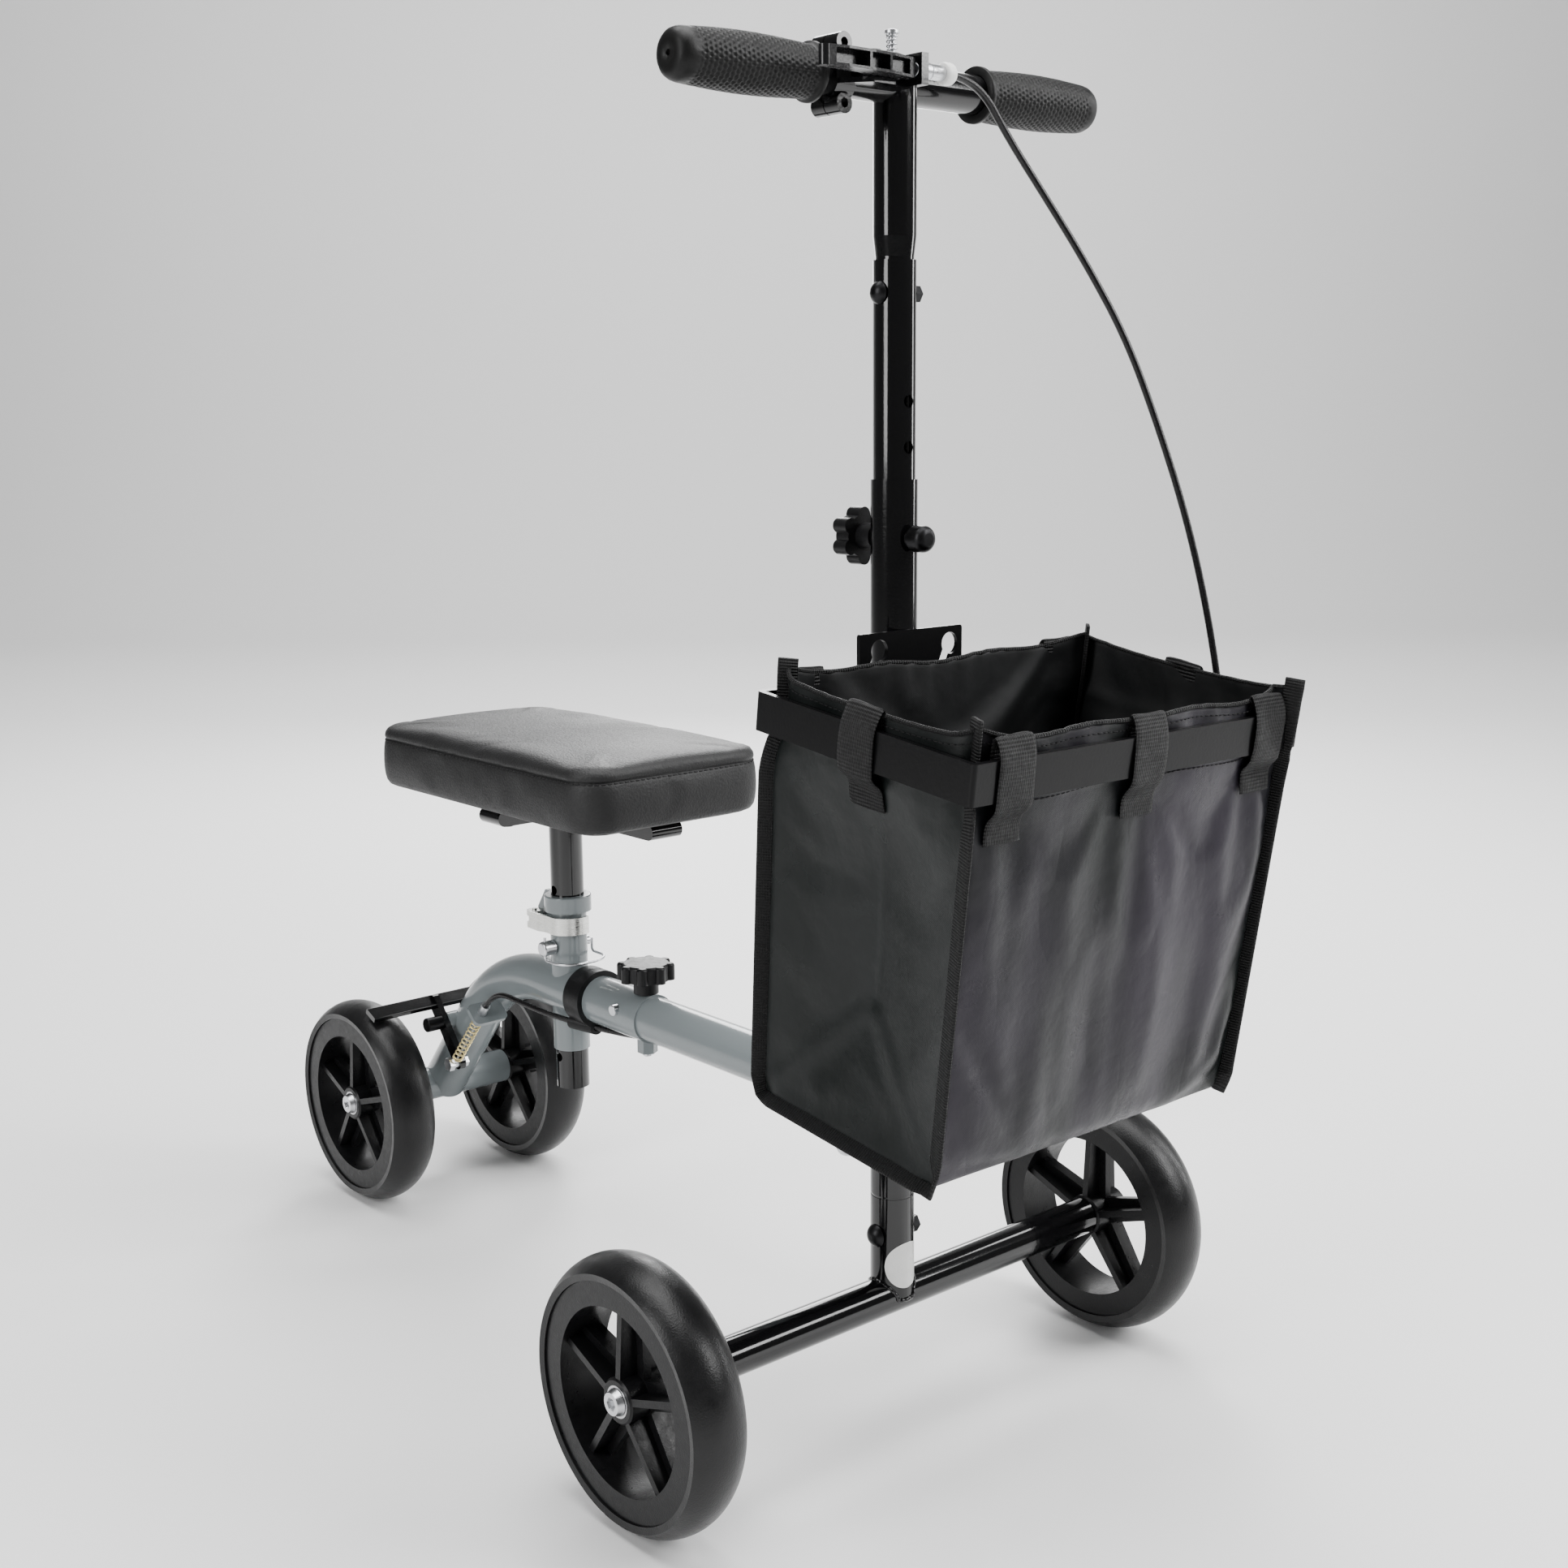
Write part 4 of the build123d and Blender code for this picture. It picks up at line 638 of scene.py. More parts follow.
pad_held = []
for ring in range(len(PAD_PROFILE)):
    pinned = ring <= PINNED_BELOW or ring == SEAM_RING or ring >= len(PAD_PROFILE) - PINNED_ON_TOP
    pad_held += [1.0 if pinned else 0.0] * PAD_AROUND
simulate(cushion, pad_held, frames=16, pressure=0.6, slack=0.003, gravity=0, cap=0.0009, bending=2.0)
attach(cushion, "seat")
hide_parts("seat_pad")


def resampled(points, spacing):
    """Points evenly spaced along a closed line of points."""
    line = list(points) + [points[0]]
    lengths = [0.0]
    for a, b in zip(line, line[1:]):
        lengths.append(lengths[-1] + (b - a).length)
    count = max(int(lengths[-1] / spacing), 2)
    result = []
    j = 0
    for i in range(count):
        want = lengths[-1] * i / count
        while j < len(lengths) - 2 and lengths[j + 1] < want:
            j += 1
        part = (want - lengths[j]) / max(lengths[j + 1] - lengths[j], 1e-9)
        result.append(line[j].lerp(line[j + 1], part))
    return result


# (share of a stitch's length, its lift in thread radii)
STITCH_SHAPE = ((0.0, -0.3), (0.15, 0.6), (0.5, 1.0), (0.85, 0.6), (1.0, -0.3))


def stitches(points, outward, pitch, length, radius):
    """Thread stitches along a closed line: each a short bead that dips at both ends, lifted by outward(point)."""
    spots = resampled(points, pitch)
    parts = []
    for here, there in zip(spots, spots[1:] + spots[:1]):
        along = (there - here).normalized()
        lift = outward(here)
        path = [here + along * length * t + lift * radius * rise for t, rise in STITCH_SHAPE]
        parts.append(tube_mesh(path, radius, 6))
    return join_meshes(parts)


thread = moulded("thread_black", (0.012, 0.012, 0.0125), 0.6, 1500)
cover = cushion.data.vertices
seam_line = [cover[(SEAM_RING - 1) * PAD_AROUND + k].co.copy() for k in range(PAD_AROUND)]


def away_from_pad(point):
    """Outward from the pad's centre line."""
    core = Vector((min(max(point.x, SEAT_X - 0.12), SEAT_X + 0.12), min(max(point.y, -0.04), 0.04), point.z))
    return (point - core).normalized()


piece(
    "knee_pad_stitching", *stitches(seam_line, away_from_pad, 0.0052, 0.0038, 0.00045), thread, "seat_vinyl", "seat",
)

# ------------------------------------------------------------------ bag
TILT = math.radians(7)
basket_lo, basket_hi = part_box("basket_frame")
RIM_FORWARD = Vector((math.cos(TILT), 0, -math.sin(TILT)))
RIM_UP = Vector((math.sin(TILT), 0, math.cos(TILT)))
RIM_CORNER = Vector((FRONT_X + 0.0365, 0, basket_hi.z))
BAR_LONG = 0.190
BAR_HALF_WIDE = (basket_hi.y - basket_lo.y) / 2
RIM_HEIGHT = 0.012
BAG_DEEP = 0.270
# the bag's rear, front and half width at its mouth, each with how much it draws in at the floor
BAG_REAR, REAR_TAPER = 0.0065, 0.0105
BAG_FRONT, FRONT_TAPER = 0.1835, 0.0045
BAG_HALF_WIDE, WIDE_TAPER = 0.146, 0.007
BAG_MIDDLE = 0.095
CORNER_PULL = 0.0075
CREASE_TOP = -0.182
CREASE_DEPTH = 0.021
SEAM_PUCKER = 0.0014
HEM_ROW = 6


def hang(a, y, h):
    """A point in the basket's own frame: a forward of the rear bar, y to the left, h above the bar's top."""
    return RIM_CORNER + RIM_FORWARD * a + Vector((0, y, 0)) + RIM_UP * h


DEEP_CELLS = 26
WIDE_CELLS = 44
ROWS = 44


def bag_row(row):
    """One closed ring of the bag, rear right corner first, then along the right side, front, left and rear."""
    v = row / ROWS
    h = RIM_HEIGHT - v * (RIM_HEIGHT + BAG_DEEP)
    rear = BAG_REAR + REAR_TAPER * v
    front = BAG_FRONT - FRONT_TAPER * v
    half = BAG_HALF_WIDE - WIDE_TAPER * v
    pull = CORNER_PULL * smoothstep(-0.055, -0.006, h)
    low = min(max((CREASE_TOP - h) / (CREASE_TOP + BAG_DEEP), 0), 1)
    begun = smoothstep(-0.010, -0.110, h)
    points = []

    def add(a, y, side, t):
        """One point, a share t along its side: folded in at the sides, waved at the front, pulled in at corners."""
        bend = math.sin(math.pi * t)
        corner = max(0, 1 - min(t, 1 - t) * 7) ** 2
        sag = 0.0
        if side in ("right", "left"):
            s = abs(2 * t - 1)
            dent = CREASE_DEPTH * min(1 - s, 1 - low) * begun
            if low > 0:
                dent -= 0.0035 * max(0, 1 - abs(s - low) / 0.14)
            dent += SEAM_PUCKER if row == HEM_ROW else 0
            y -= math.copysign(dent, y)
            y -= math.copysign(pull * corner, y)
            a += (pull * corner if t < 0.5 else -pull * corner) * 0.9
            sag = -0.0035 * bend * (1 - v) ** 6
        else:
            if side == "front":
                a -= SEAM_PUCKER if row == HEM_ROW else 0
                wave = noise.noise(Vector((y * 21, 4.1, h * 4.5))) + 0.5 * noise.noise(Vector((y * 48, 1.7, h * 9)))
                a += ((0.002 + 0.0060 * wave) * min(1, 5 * bend)
                      * smoothstep(-0.030, -0.075, h) * smoothstep(1.0, 0.86, v))
            a += (-pull if side == "front" else pull) * corner
            y -= math.copysign(pull * corner, y) * 0.9
            sag = -0.003 * math.sin(math.pi * 3 * t) ** 2 * (1 - v) ** 6
        tip = 0.004 * corner * (1 - v) ** 10
        points.append(hang(a, y, h + sag + tip))

    for k in range(DEEP_CELLS):
        add(rear + (front - rear) * k / DEEP_CELLS, -half, "right", k / DEEP_CELLS)
    for k in range(WIDE_CELLS):
        add(front, -half + 2 * half * k / WIDE_CELLS, "front", k / WIDE_CELLS)
    for k in range(DEEP_CELLS):
        add(front + (rear - front) * k / DEEP_CELLS, half, "left", k / DEEP_CELLS)
    for k in range(WIDE_CELLS):
        add(rear, half - 2 * half * k / WIDE_CELLS, "rear", k / WIDE_CELLS)
    return points


RING = 2 * (DEEP_CELLS + WIDE_CELLS)
CORNERS = (0, DEEP_CELLS, DEEP_CELLS + WIDE_CELLS, 2 * DEEP_CELLS + WIDE_CELLS)
SIDE_COLUMNS = [*range(CORNERS[0], CORNERS[1]), *range(CORNERS[2], CORNERS[3])]
SIDE_MIDDLES = (DEEP_CELLS // 2, CORNERS[2] + DEEP_CELLS // 2)
# the columns and rows that the straps are sewn to: three at the front, one at each side, two at the rear
STRAP_COLUMNS = (DEEP_CELLS + 4, DEEP_CELLS + 22, DEEP_CELLS + 40, *SIDE_MIDDLES, RING - 4, RING - 40)
STRAP_ROWS = (0, 1, 8, 9)
FLOOR_CELL = 0.0065
bag_vertices, bag_uv = [], []
for row in range(ROWS + 1):
    ring_points = bag_row(row)
    run = 0.0
    for k, point in enumerate(ring_points):
        bag_vertices.append(point)
        bag_uv.append((run, row * (RIM_HEIGHT + BAG_DEEP) / ROWS))
        run += (ring_points[(k + 1) % RING] - point).length
bag_faces = [turned_over(face) for face in ring_faces(ROWS + 1, RING, caps=False)]
# floor of the bag: i runs forward, j from its right edge to its left
floor_index = {}
bottom = ROWS * RING
for i in range(DEEP_CELLS + 1):
    for j in range(WIDE_CELLS + 1):
        if j == 0:
            floor_index[i, j] = bottom + i
        elif i == DEEP_CELLS:
            floor_index[i, j] = bottom + DEEP_CELLS + j
        elif j == WIDE_CELLS:
            floor_index[i, j] = bottom + CORNERS[3] - i
        elif i == 0:
            floor_index[i, j] = bottom + (RING - j) % RING
        else:
            right_edge = bag_vertices[bottom + i]
            left_edge = bag_vertices[bottom + CORNERS[3] - i]
            floor_index[i, j] = len(bag_vertices)
            bag_vertices.append(right_edge.lerp(left_edge, j / WIDE_CELLS))
            bag_uv.append((i * FLOOR_CELL, j * FLOOR_CELL))
for i in range(DEEP_CELLS):
    for j in range(WIDE_CELLS):
        bag_faces.append((
            floor_index[i, j], floor_index[i, j + 1], floor_index[i + 1, j + 1], floor_index[i + 1, j],
        ))
bag = piece("basket_bag", bag_vertices, bag_faces, nylon_with_painted_sheen, "bag_fabric", uv=bag_uv)
for cloth_material in (lining, side_nylon_painted_shade, lining):
    bag.data.materials.append(cloth_material)
# the side panels take the darker copy of the fabric: painted shade
for row in range(ROWS):
    for k in SIDE_COLUMNS:
        bag.data.polygons[row * RING + k].material_index = 2

STRAP_SPOTS = [("front", -0.118), ("front", 0.0), ("front", 0.118), ("rear", -0.118), ("rear", 0.118),
               ("right", 0.095), ("left", 0.095)]
bag_held = [0.0] * len(bag_vertices)
for row in range(ROWS + 1):
    for corner in CORNERS:
        bag_held[row * RING + corner] = 1.0
    for side_middle in SIDE_MIDDLES:
        if row > ROWS * 0.25:
            bag_held[row * RING + side_middle] = 0.9
for k in range(RING):
    bag_held[ROWS * RING + k] = 1.0
    bag_held[k] = 0.35
for index in range((ROWS + 1) * RING, len(bag_vertices)):
    bag_held[index] = 1.0
for row in STRAP_ROWS:
    for centre in STRAP_COLUMNS:
        for k in (-2, -1, 0, 1, 2):
            bag_held[row * RING + centre + k] = 1.0
# an uneven start, so that the folds don't come out regular
NUDGE = 0.0025
for index, vertex in enumerate(bag.data.vertices):
    if index < (ROWS + 1) * RING and bag_held[index] < 1:
        nudge = noise.noise(vertex.co * 17 + Vector((3, 1, 7)))
        out = Vector((vertex.co.x - hang(BAG_MIDDLE, 0, 0).x, vertex.co.y, 0)).normalized()
        vertex.co += out * nudge * NUDGE
simulate(bag, bag_held, frames=22, pressure=0.03, slack=0.012, gravity=0.5, cap=0.006)
# the rear panel stays off the column, and the side panels keep most of their folded-in shape
REAR_SLACK = 0.0012
SIDE_SHARE = 0.4
for row in range(ROWS + 1):
    for k in range(CORNERS[3], RING):
        vertex = bag.data.vertices[row * RING + k]
        rest = bag_vertices[row * RING + k]
        vertex.co.x = max(vertex.co.x, rest.x - REAR_SLACK)
    for k in SIDE_COLUMNS:
        if k not in CORNERS:
            vertex = bag.data.vertices[row * RING + k]
            vertex.co = bag_vertices[row * RING + k].lerp(vertex.co, SIDE_SHARE)
thick = bag.modifiers.new("thick", "SOLIDIFY")
thick.thickness = 0.0011
thick.offset = -1
thick.material_offset = 1
soft = bag.modifiers.new("soft", "SUBSURF")
soft.levels = 1
soft.render_levels = 1
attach(bag, "basket")
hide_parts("bag")
bag_points = [v.co.copy() for v in bag.data.vertices]


def swept(path, outs, outline, material, name, slot, body):
    """A strip with one closed cross-section: outline holds (out, aside) pairs; outs holds the outward direction."""
    vertices, uv = [], []
    around_run = [0.0]
    for (a, b), (c, d) in zip(outline, outline[1:]):
        around_run.append(around_run[-1] + math.hypot(c - a, d - b))
    run = 0.0
    for i, here in enumerate(path):
        ahead = (path[min(i + 1, len(path) - 1)] - path[max(i - 1, 0)]).normalized()
        out = (outs[i] - ahead * outs[i].dot(ahead)).normalized()
        aside = ahead.cross(out)
        if i:
            run += (here - path[i - 1]).length
        for (a, b), u in zip(outline, around_run):
            vertices.append(here + out * a + aside * b)
            uv.append((u, run))
    return piece(name, vertices, ring_faces(len(path), len(outline)), material, slot, body, uv=uv)


# ribbed tape sewn over the side panels' edges: down the rear corner, along the bottom, up the front corner
FIN_PAST_MOUTH = 0.006
FIN = [(-0.0055, -0.0012), (0.0052, -0.0013), (0.0068, -0.0009), (0.0073, 0.0), (0.0068, 0.0009),
       (0.0052, 0.0013), (-0.0055, 0.0012)]
for name, side, rear_corner, front_corner in (
    ("right", -1, CORNERS[0], CORNERS[1]), ("left", 1, CORNERS[3], CORNERS[2]),
):
    beside = Vector((0, side, 0))
    rear_out = (beside - RIM_FORWARD).normalized()
    front_out = (beside * 0.35 + RIM_FORWARD).normalized()
    low_out = (beside - RIM_UP * 0.8).normalized()
    line = [bag_points[rear_corner] + RIM_UP * FIN_PAST_MOUTH]
    outs = [rear_out]
    for row in range(ROWS + 1):
        line.append(bag_points[row * RING + rear_corner])
        outs.append((rear_out.lerp(low_out, smoothstep(ROWS - 3, ROWS, row) * 0.6)).normalized())
    step = 1 if side < 0 else -1
    for k in range(1, DEEP_CELLS):
        line.append(bag_points[ROWS * RING + rear_corner + step * k])
        outs.append(low_out)
    for row in range(ROWS, -1, -1):
        line.append(bag_points[row * RING + front_corner])
        outs.append((front_out.lerp(low_out, smoothstep(ROWS - 3, ROWS, row) * 0.6)).normalized())
    line.append(bag_points[front_corner] + RIM_UP * FIN_PAST_MOUTH)
    outs.append(front_out)
    swept(line, outs, FIN, edge_tape, "bag_binding_" + name, "bag_fabric", "basket")

# rolled hem round the bag's mouth, and two rows of stitching below it
HEM_AROUND = 8
rolled_vertices, rolled_faces = tube_mesh(bag_points[:RING], 0.0015, HEM_AROUND, True)
rolled_uv = [((i % HEM_AROUND) * 0.0012, (i // HEM_AROUND) * 0.0066) for i in range(len(rolled_vertices))]
piece("bag_rolled_hem", rolled_vertices, rolled_faces, edge_tape, "bag_fabric", "basket", uv=rolled_uv)


def away_from_bag(point):
    """Outward from the bag's middle, square to the panel that the point lies on."""
    core = hang(BAG_MIDDLE, 0, 0)
    level = Vector((point.x - core.x, point.y, 0))
    if abs(level.x) / BAG_MIDDLE > abs(level.y) / 0.150:
        return Vector((math.copysign(1, level.x), 0, 0))
    return Vector((0, math.copysign(1, level.y), 0))


MOUTH_ROW = 1
THREAD_LIFT = 0.0002
seams = []
for row in (MOUTH_ROW, HEM_ROW):
    ring = [p + away_from_bag(p) * THREAD_LIFT for p in bag_points[row * RING:(row + 1) * RING]]
    seams.append(stitches(ring, away_from_bag, 0.0045, 0.0032, 0.00034))
piece("bag_stitching", *join_meshes(seams), thread, "bag_fabric", "basket")

# webbing straps that hang the bag on the frame's bars
STRAP_WIDE = 0.030
STRAP_HALF_THICK = 0.0008
STRAP_CELLS = 12
# (out from the bar's face, height) along a strap, from inside the mouth over the bar and down; None lies on the bag
STRAP_LINE = [(-0.0066, -0.003), (-0.0070, 0.008), (-0.0058, 0.0128), (-0.0030, 0.0112), (0.0006, 0.0030),
              (0.0016, -0.004), (0.0017, -0.016), (0.0016, -0.0255), (0.0004, -0.031), (None, -0.037),
              (None, -0.044), (None, -0.052)]


def softened(points):
    """The line with its corners cut twice and its two ends kept."""
    for _ in range(2):
        result = [points[0]]
        for a, b in zip(points, points[1:]):
            result.append(a.lerp(b, 0.25))
            result.append(a.lerp(b, 0.75))
        result.append(points[-1])
        points = result
    return points


def side_of(point):
    """Which of the bag's four panels a point lies on."""
    local = point - RIM_CORNER
    a = local.dot(RIM_FORWARD)
    gaps = {"rear": abs(a - 0.012), "front": abs(a - 0.181), "right": abs(point.y + 0.142),
            "left": abs(point.y - 0.142)}
    return min(gaps, key=gaps.get)


def panel_distance(side, outward, height, face):
    """How far the bag's panel lies outward of the bar's outer face, at one height."""
    best = min(
        bag_points[:(ROWS + 1) * RING],
        key=lambda p: (p - (face + RIM_UP * height)).length if side_of(p) == side else 9.0,
    )
    return (best - face).dot(outward)


for number, (side, where) in enumerate(STRAP_SPOTS):
    if side == "front":
        face, outward = hang(BAR_LONG, where, 0), RIM_FORWARD
    elif side == "rear":
        face, outward = hang(0, where, 0), -RIM_FORWARD
    else:
        sign = -1 if side == "right" else 1
        face, outward = hang(where, sign * BAR_HALF_WIDE, 0), Vector((0, sign, 0))
    spots = []
    for out, height in STRAP_LINE:
        if out is None:
            out = panel_distance(side, outward, height, face) + 0.0013
        spots.append(face + outward * out + RIM_UP * height)
    spots = softened(spots)
    across_strap = outward.cross(RIM_UP).normalized()
    vertices, uv = [], []
    run = 0.0
    for i, here in enumerate(spots):
        ahead = (spots[min(i + 1, len(spots) - 1)] - spots[max(i - 1, 0)]).normalized()
        lift = ahead.cross(across_strap).normalized()
        if i:
            run += (here - spots[i - 1]).length
        for face_sign in (1, -1):
            for k in range(STRAP_CELLS + 1):
                t = k / STRAP_CELLS if face_sign > 0 else 1 - k / STRAP_CELLS
                edge = 1 - 0.75 * (2 * abs(t - 0.5)) ** 10
                ripple = 0.0004 * math.sin(t * 5 + i * 0.35 + number * 2)
                offset = across_strap * (t - 0.5) * STRAP_WIDE
                vertices.append(here + offset + lift * (face_sign * STRAP_HALF_THICK * edge + ripple * (i > 2)))
                uv.append((t * STRAP_WIDE, run))
    faces = ring_faces(len(spots), 2 * (STRAP_CELLS + 1))
    piece("bag_strap_%d" % (number + 1), vertices, faces, strap_tape, "bag_fabric", "basket", uv=uv)


# ------------------------------------------------------------------ handlebar details
def lathe(name, origin, axis, profile, around, material, slot, body):
    """A turned piece: profile holds (distance along the axis, radius)."""
    axis = Vector(axis).normalized()
    side = axis.orthogonal().normalized()
    other = axis.cross(side)
    vertices = []
    for along, radius in profile:
        for k in range(around):
            turn = math.tau * k / around
            vertices.append(origin + axis * along + (side * math.cos(turn) + other * math.sin(turn)) * radius)
    made = piece(name, vertices, ring_faces(len(profile), around), material, slot, body)
    made.data.set_sharp_from_angle(angle=math.radians(38))
    return made


grips_lo, grips_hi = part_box("grips")
BAR_X = (grips_lo.x + grips_hi.x) / 2
BAR_Z = (grips_lo.z + grips_hi.z) / 2
GRIP_END = grips_hi.y
GRIP_LONG = 0.112
DOTS_AROUND = 31
DOTS_ALONG = 27
PER_DOT = 4
DOT_PITCH = 0.0036
DOTS_FROM = 0.0055
DOTS_TO = 0.0995


def grip_radius(share):
    """Hand grip's outline from its flange (0) to its end (1)."""
    swell = math.sin(math.pi * min(max((share - 0.06) / 0.90, 0), 1))
    return 0.0164 + 0.0021 * swell - 0.0006 * share


for side_name, sign in (("right", -1), ("left", 1)):
    start = Vector((BAR_X, sign * (GRIP_END - GRIP_LONG), BAR_Z))
    axis = Vector((0, sign, 0))
    rings = [(0.0, 0.0130), (0.0, 0.0180), (0.0004, 0.0184), (0.0030, 0.0184), (0.0036, 0.0178), (0.0042, 0.0166)]
    count = DOTS_ALONG * PER_DOT
    dotted_from = len(rings)
    for i in range(count + 1):
        along = DOTS_FROM + (DOTS_TO - DOTS_FROM) * i / count
        rings.append((along, grip_radius(along / GRIP_LONG)))
    dotted_to = len(rings) - 1
    end_r = rings[-1][1]
    rings += [(0.1030, end_r - 0.0002), (0.1062, end_r - 0.0008), (0.1090, end_r - 0.0020), (0.1108, end_r - 0.0038),
              (0.1118, end_r - 0.0060), (0.1120, 0.0080), (0.1120, 0.0022), (0.1112, 0.0019), (0.1085, 0.0018)]
    around = DOTS_AROUND * PER_DOT
    vertices = []
    for i, (along, radius) in enumerate(rings):
        for k in range(around):
            turn = math.tau * k / around
            dent = 0.0
            if dotted_from < i < dotted_to:
                row = (i - dotted_from) / PER_DOT
                near_row = round(row)
                shift = 0.5 if near_row % 2 else 0.0
                column = k / PER_DOT - shift
                off_along = (row - near_row) * ((DOTS_TO - DOTS_FROM) / DOTS_ALONG)
                off_round = (column - round(column)) * DOT_PITCH
                dent = 0.0009 * smoothstep(0.0015, 0.0006, math.hypot(off_along, off_round))
            vertices.append(start + axis * along + Vector((math.cos(turn), 0, math.sin(turn))) * (radius - dent))
    faces = ring_faces(len(rings), around, caps=False)
    faces.append(tuple((len(rings) - 1) * around + k for k in range(around)))
    if sign > 0:
        faces = [face[::-1] for face in faces]
    made = piece("grip_" + side_name, vertices, faces, grip_rubber, "grip_rubber", "mast")
    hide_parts("grips")

# the cable adjuster: a zinc barrel with its lock nut, and the white ferrule cap that takes the housing
adjuster = Vector((FRONT_X + 0.038, 0, 0.937))
barrel = lathe(
    "adjuster_barrel", adjuster, (0, 1, 0),
    [(-0.0200, 0.0040), (-0.0195, 0.0044), (-0.0125, 0.0044), (-0.0122, 0.0054), (-0.0085, 0.0054), (-0.0082, 0.0041),
     (-0.0070, 0.0041), (-0.0066, 0.0049), (0.0040, 0.0049), (0.0046, 0.0045), (0.0046, 0.0030)],
    32, zinc, "zinc_bolt", "mast",
)
cap = lathe(
    "adjuster_cap", adjuster, (0, 1, 0),
    [(0.0046, 0.0060), (0.0050, 0.0066), (0.0062, 0.0070), (0.0098, 0.0070), (0.0118, 0.0066), (0.0133, 0.0055),
     (0.0143, 0.0041), (0.0146, 0.0027)],
    36, white_plastic, "white_plastic", "mast",
)
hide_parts("cable_adjuster")
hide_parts("cable_adjuster")

# blank round label on the stub
LABEL_Z = 0.122
LABEL_R = 0.0175
STUB_R = 0.0159
LABEL_SKIN_R = STUB_R + 0.00018
LABEL_RINGS = (0.0, 0.004, 0.008, 0.012, 0.0148, 0.0154, 0.0168, LABEL_R)
LABEL_AROUND = 48
label_vertices = []
for radius in LABEL_RINGS:
    for k in range(LABEL_AROUND):
        turn = math.tau * k / LABEL_AROUND
        wrap = radius * math.cos(turn) / STUB_R
        rise = radius * math.sin(turn)
        label_vertices.append(Vector((
            FRONT_X + LABEL_SKIN_R * math.cos(wrap), LABEL_SKIN_R * math.sin(wrap), LABEL_Z + rise,
        )))
label_faces = [turned_over(face) for face in ring_faces(len(LABEL_RINGS), LABEL_AROUND, caps=False)]
piece("round_label", label_vertices, label_faces, white_plastic, "white_plastic", "column")


# ------------------------------------------------------------------ weld bead
WELD_R = 0.0016
WELD_STEP = 0.0011
SADDLE_STEPS = 72


def bead(name, points, body, material, slot):
    """A fillet weld along a closed line: a small rope with the ripples of the passes."""
    spots = resampled(points, WELD_STEP)
    radii = [WELD_R * (1 + 0.16 * math.sin(math.tau * i / 3.4) + 0.05 * math.sin(i * 0.37)) for i in range(len(spots))]
    return piece(name, *tube_mesh(spots, radii, 8, True), material, slot, body)


def saddle(centre, across_r, along_r):
    """The line where an upright tube stands on a level tube that runs along Y."""
    line = []
    for k in range(SADDLE_STEPS):
        turn = math.tau * k / SADDLE_STEPS
        x, y = across_r * math.cos(turn), across_r * math.sin(turn)
        line.append(centre + Vector((x, y, math.sqrt(max(along_r ** 2 - x * x, 0)))))
    return line


AXLE_HEIGHT = (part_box("front_tyre_left")[0].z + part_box("front_tyre_left")[1].z) / 2
AXLE_TUBE_R = AXLE_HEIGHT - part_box("front_axle")[0].z
bead("stub_weld", saddle(Vector((FRONT_X, 0, AXLE_HEIGHT)), STUB_R, AXLE_TUBE_R), "column", black_paint,
     "black_paint")


# ------------------------------------------------------------------ floor and light
def plain(name, colour, rough):
    """One even colour and gloss."""
    s = Shader(name)
    s.colour((*colour, 1))
    s.rough(rough)
    return s.material


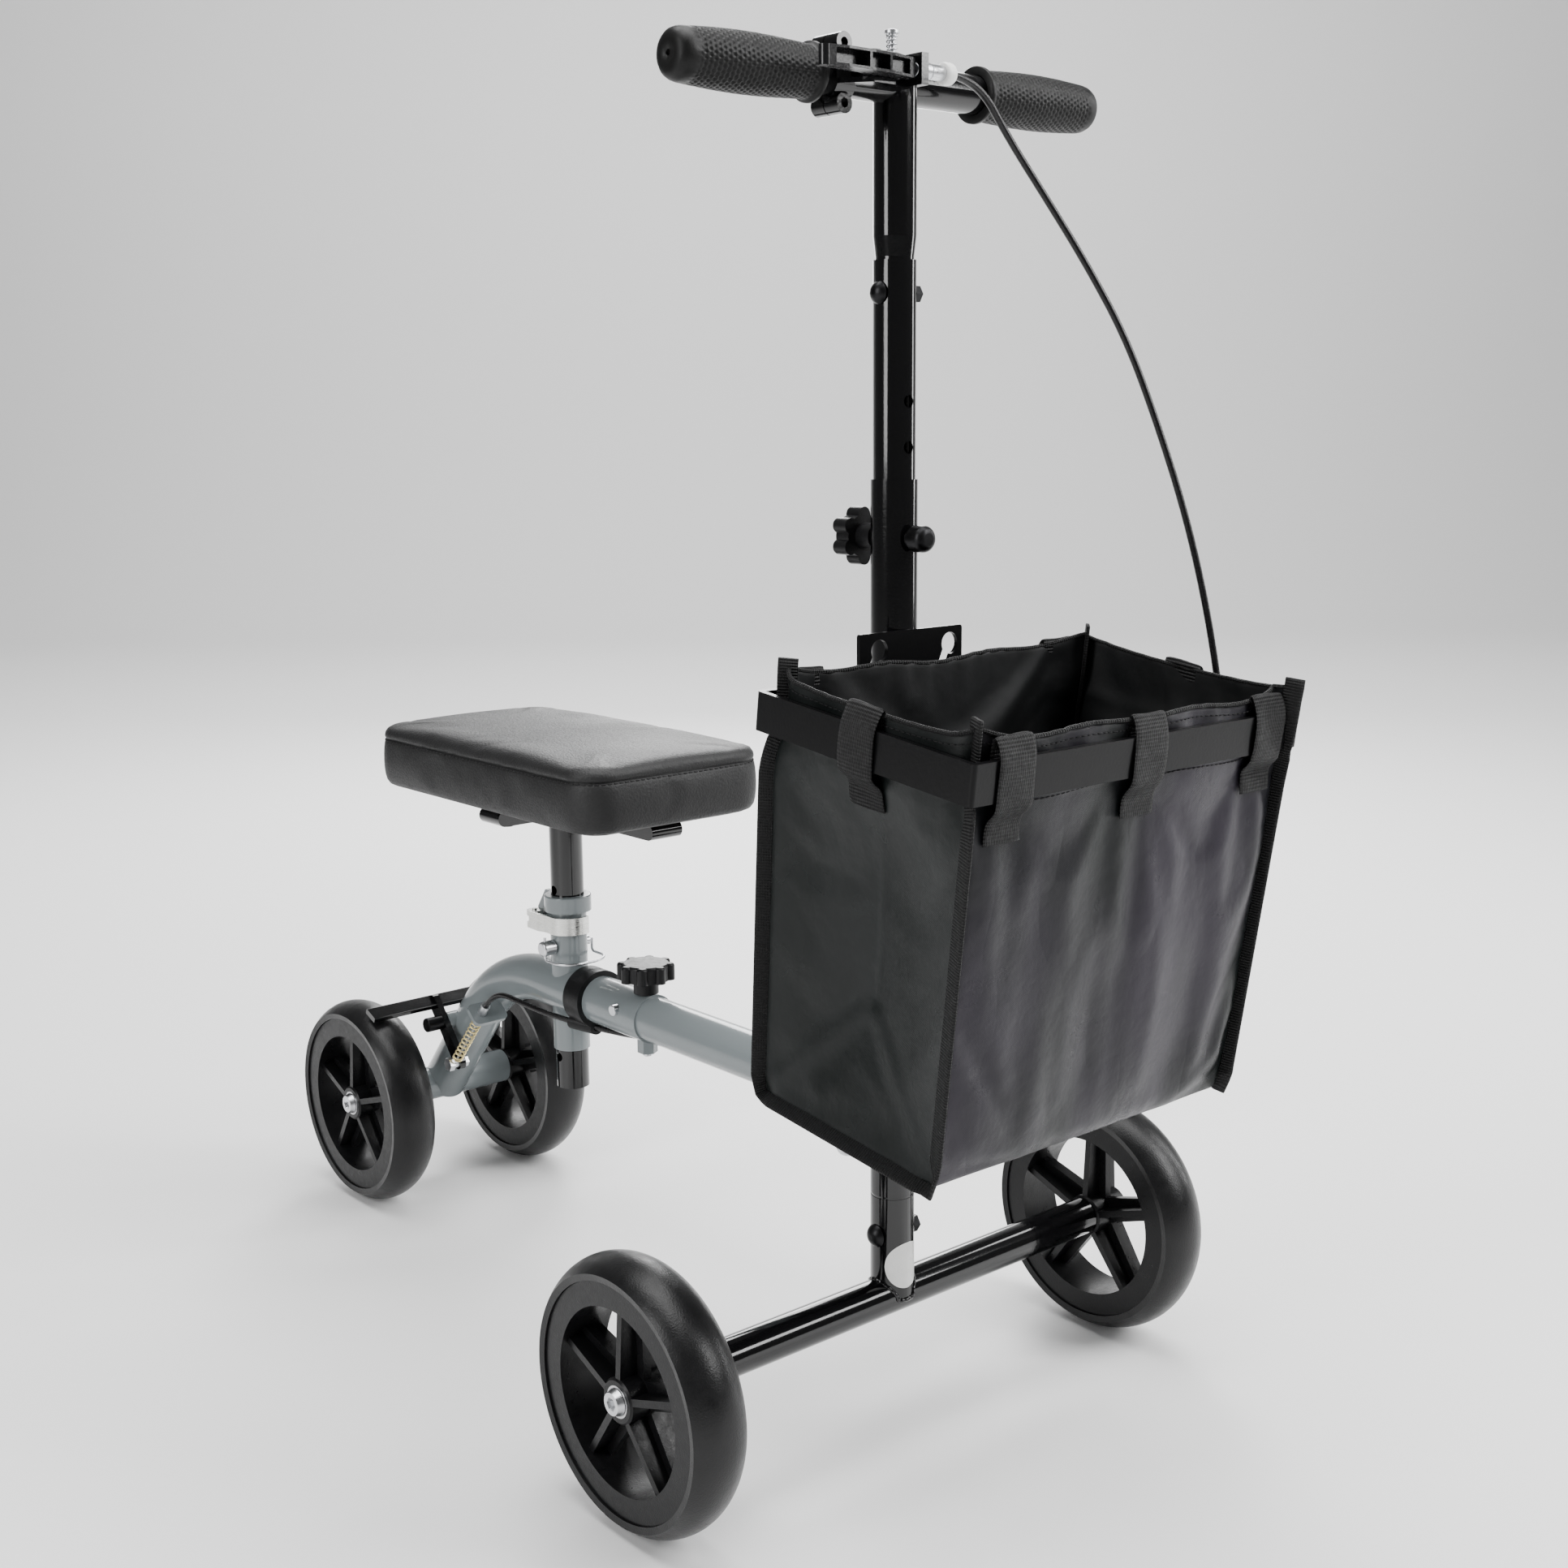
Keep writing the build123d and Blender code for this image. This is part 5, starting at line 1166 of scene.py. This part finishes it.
# a floor that runs away from the camera and curves up into a backdrop
floor_mesh = bpy.data.meshes.new("floor")
SWEEP_NEAR = -6.0
SWEEP_FAR = 7.0
SWEEP_TOP = 8.0
SWEEP_R = 2.0
SWEEP_HALF_WIDE = 9
SWEEP_STEPS = 12
sweep_line = [(SWEEP_NEAR, 0.0), (SWEEP_FAR - SWEEP_R, 0.0)]
for k in range(1, SWEEP_STEPS + 1):
    angle = math.radians(90 * k / SWEEP_STEPS)
    sweep_line.append((SWEEP_FAR - SWEEP_R + SWEEP_R * math.sin(angle), SWEEP_R * (1 - math.cos(angle))))
sweep_line.append((SWEEP_FAR, SWEEP_TOP))
away = Vector((look.x, look.y, 0)).normalized()
aside = Vector((away.y, -away.x, 0))
floor_vertices, floor_faces = [], []
for run, rise in sweep_line:
    for wide in (-SWEEP_HALF_WIDE, SWEEP_HALF_WIDE):
        floor_vertices.append(away * run + aside * wide + Vector((0, 0, rise)))
for k in range(len(sweep_line) - 1):
    floor_faces.append((2 * k, 2 * k + 1, 2 * k + 3, 2 * k + 2))
floor_mesh.from_pydata([tuple(v) for v in floor_vertices], [], floor_faces)
floor_mesh.shade_smooth()
floor_mesh.materials.append(plain("studio_white", (0.86, 0.86, 0.86), 0.6))
floor = bpy.data.objects.new("floor", floor_mesh)
bpy.context.scene.collection.objects.link(floor)

world = bpy.data.worlds.new("studio")
bpy.context.scene.world = world
world.use_nodes = True
world.node_tree.nodes["Background"].inputs["Color"].default_value = (1.0, 1.0, 1.0, 1)
world.node_tree.nodes["Background"].inputs["Strength"].default_value = 0.14


def softbox(name, where, target, wide, tall, power):
    """Rectangular area light aimed at a point."""
    data = bpy.data.lights.new(name, "AREA")
    data.shape = "RECTANGLE"
    data.size = wide
    data.size_y = tall
    data.energy = power
    lamp = bpy.data.objects.new(name, data)
    bpy.context.scene.collection.objects.link(lamp)
    lamp.location = where
    lamp.rotation_euler = (Vector(target) - Vector(where)).to_track_quat("-Z", "Y").to_euler()


softbox("key", (2.0, 1.3, 2.1), (0.1, 0, 0.45), 1.0, 1.8, 85)
softbox("fill", (0.2, -2.6, 1.5), (0, 0, 0.4), 0.9, 1.9, 55)
softbox("top", (0.1, 0.0, 2.9), (0, 0, 0), 2.4, 2.4, 120)
softbox("rim", (-1.9, 1.7, 1.7), (0, 0, 0.5), 0.9, 1.6, 55)
softbox("strip", (0.9, 2.3, 1.3), (0.1, 0, 0.5), 0.35, 2.0, 28)
softbox("backdrop", (-1.6, 1.4, 3.4), (-4.5, 3.8, 1.2), 3.0, 2.0, 260)
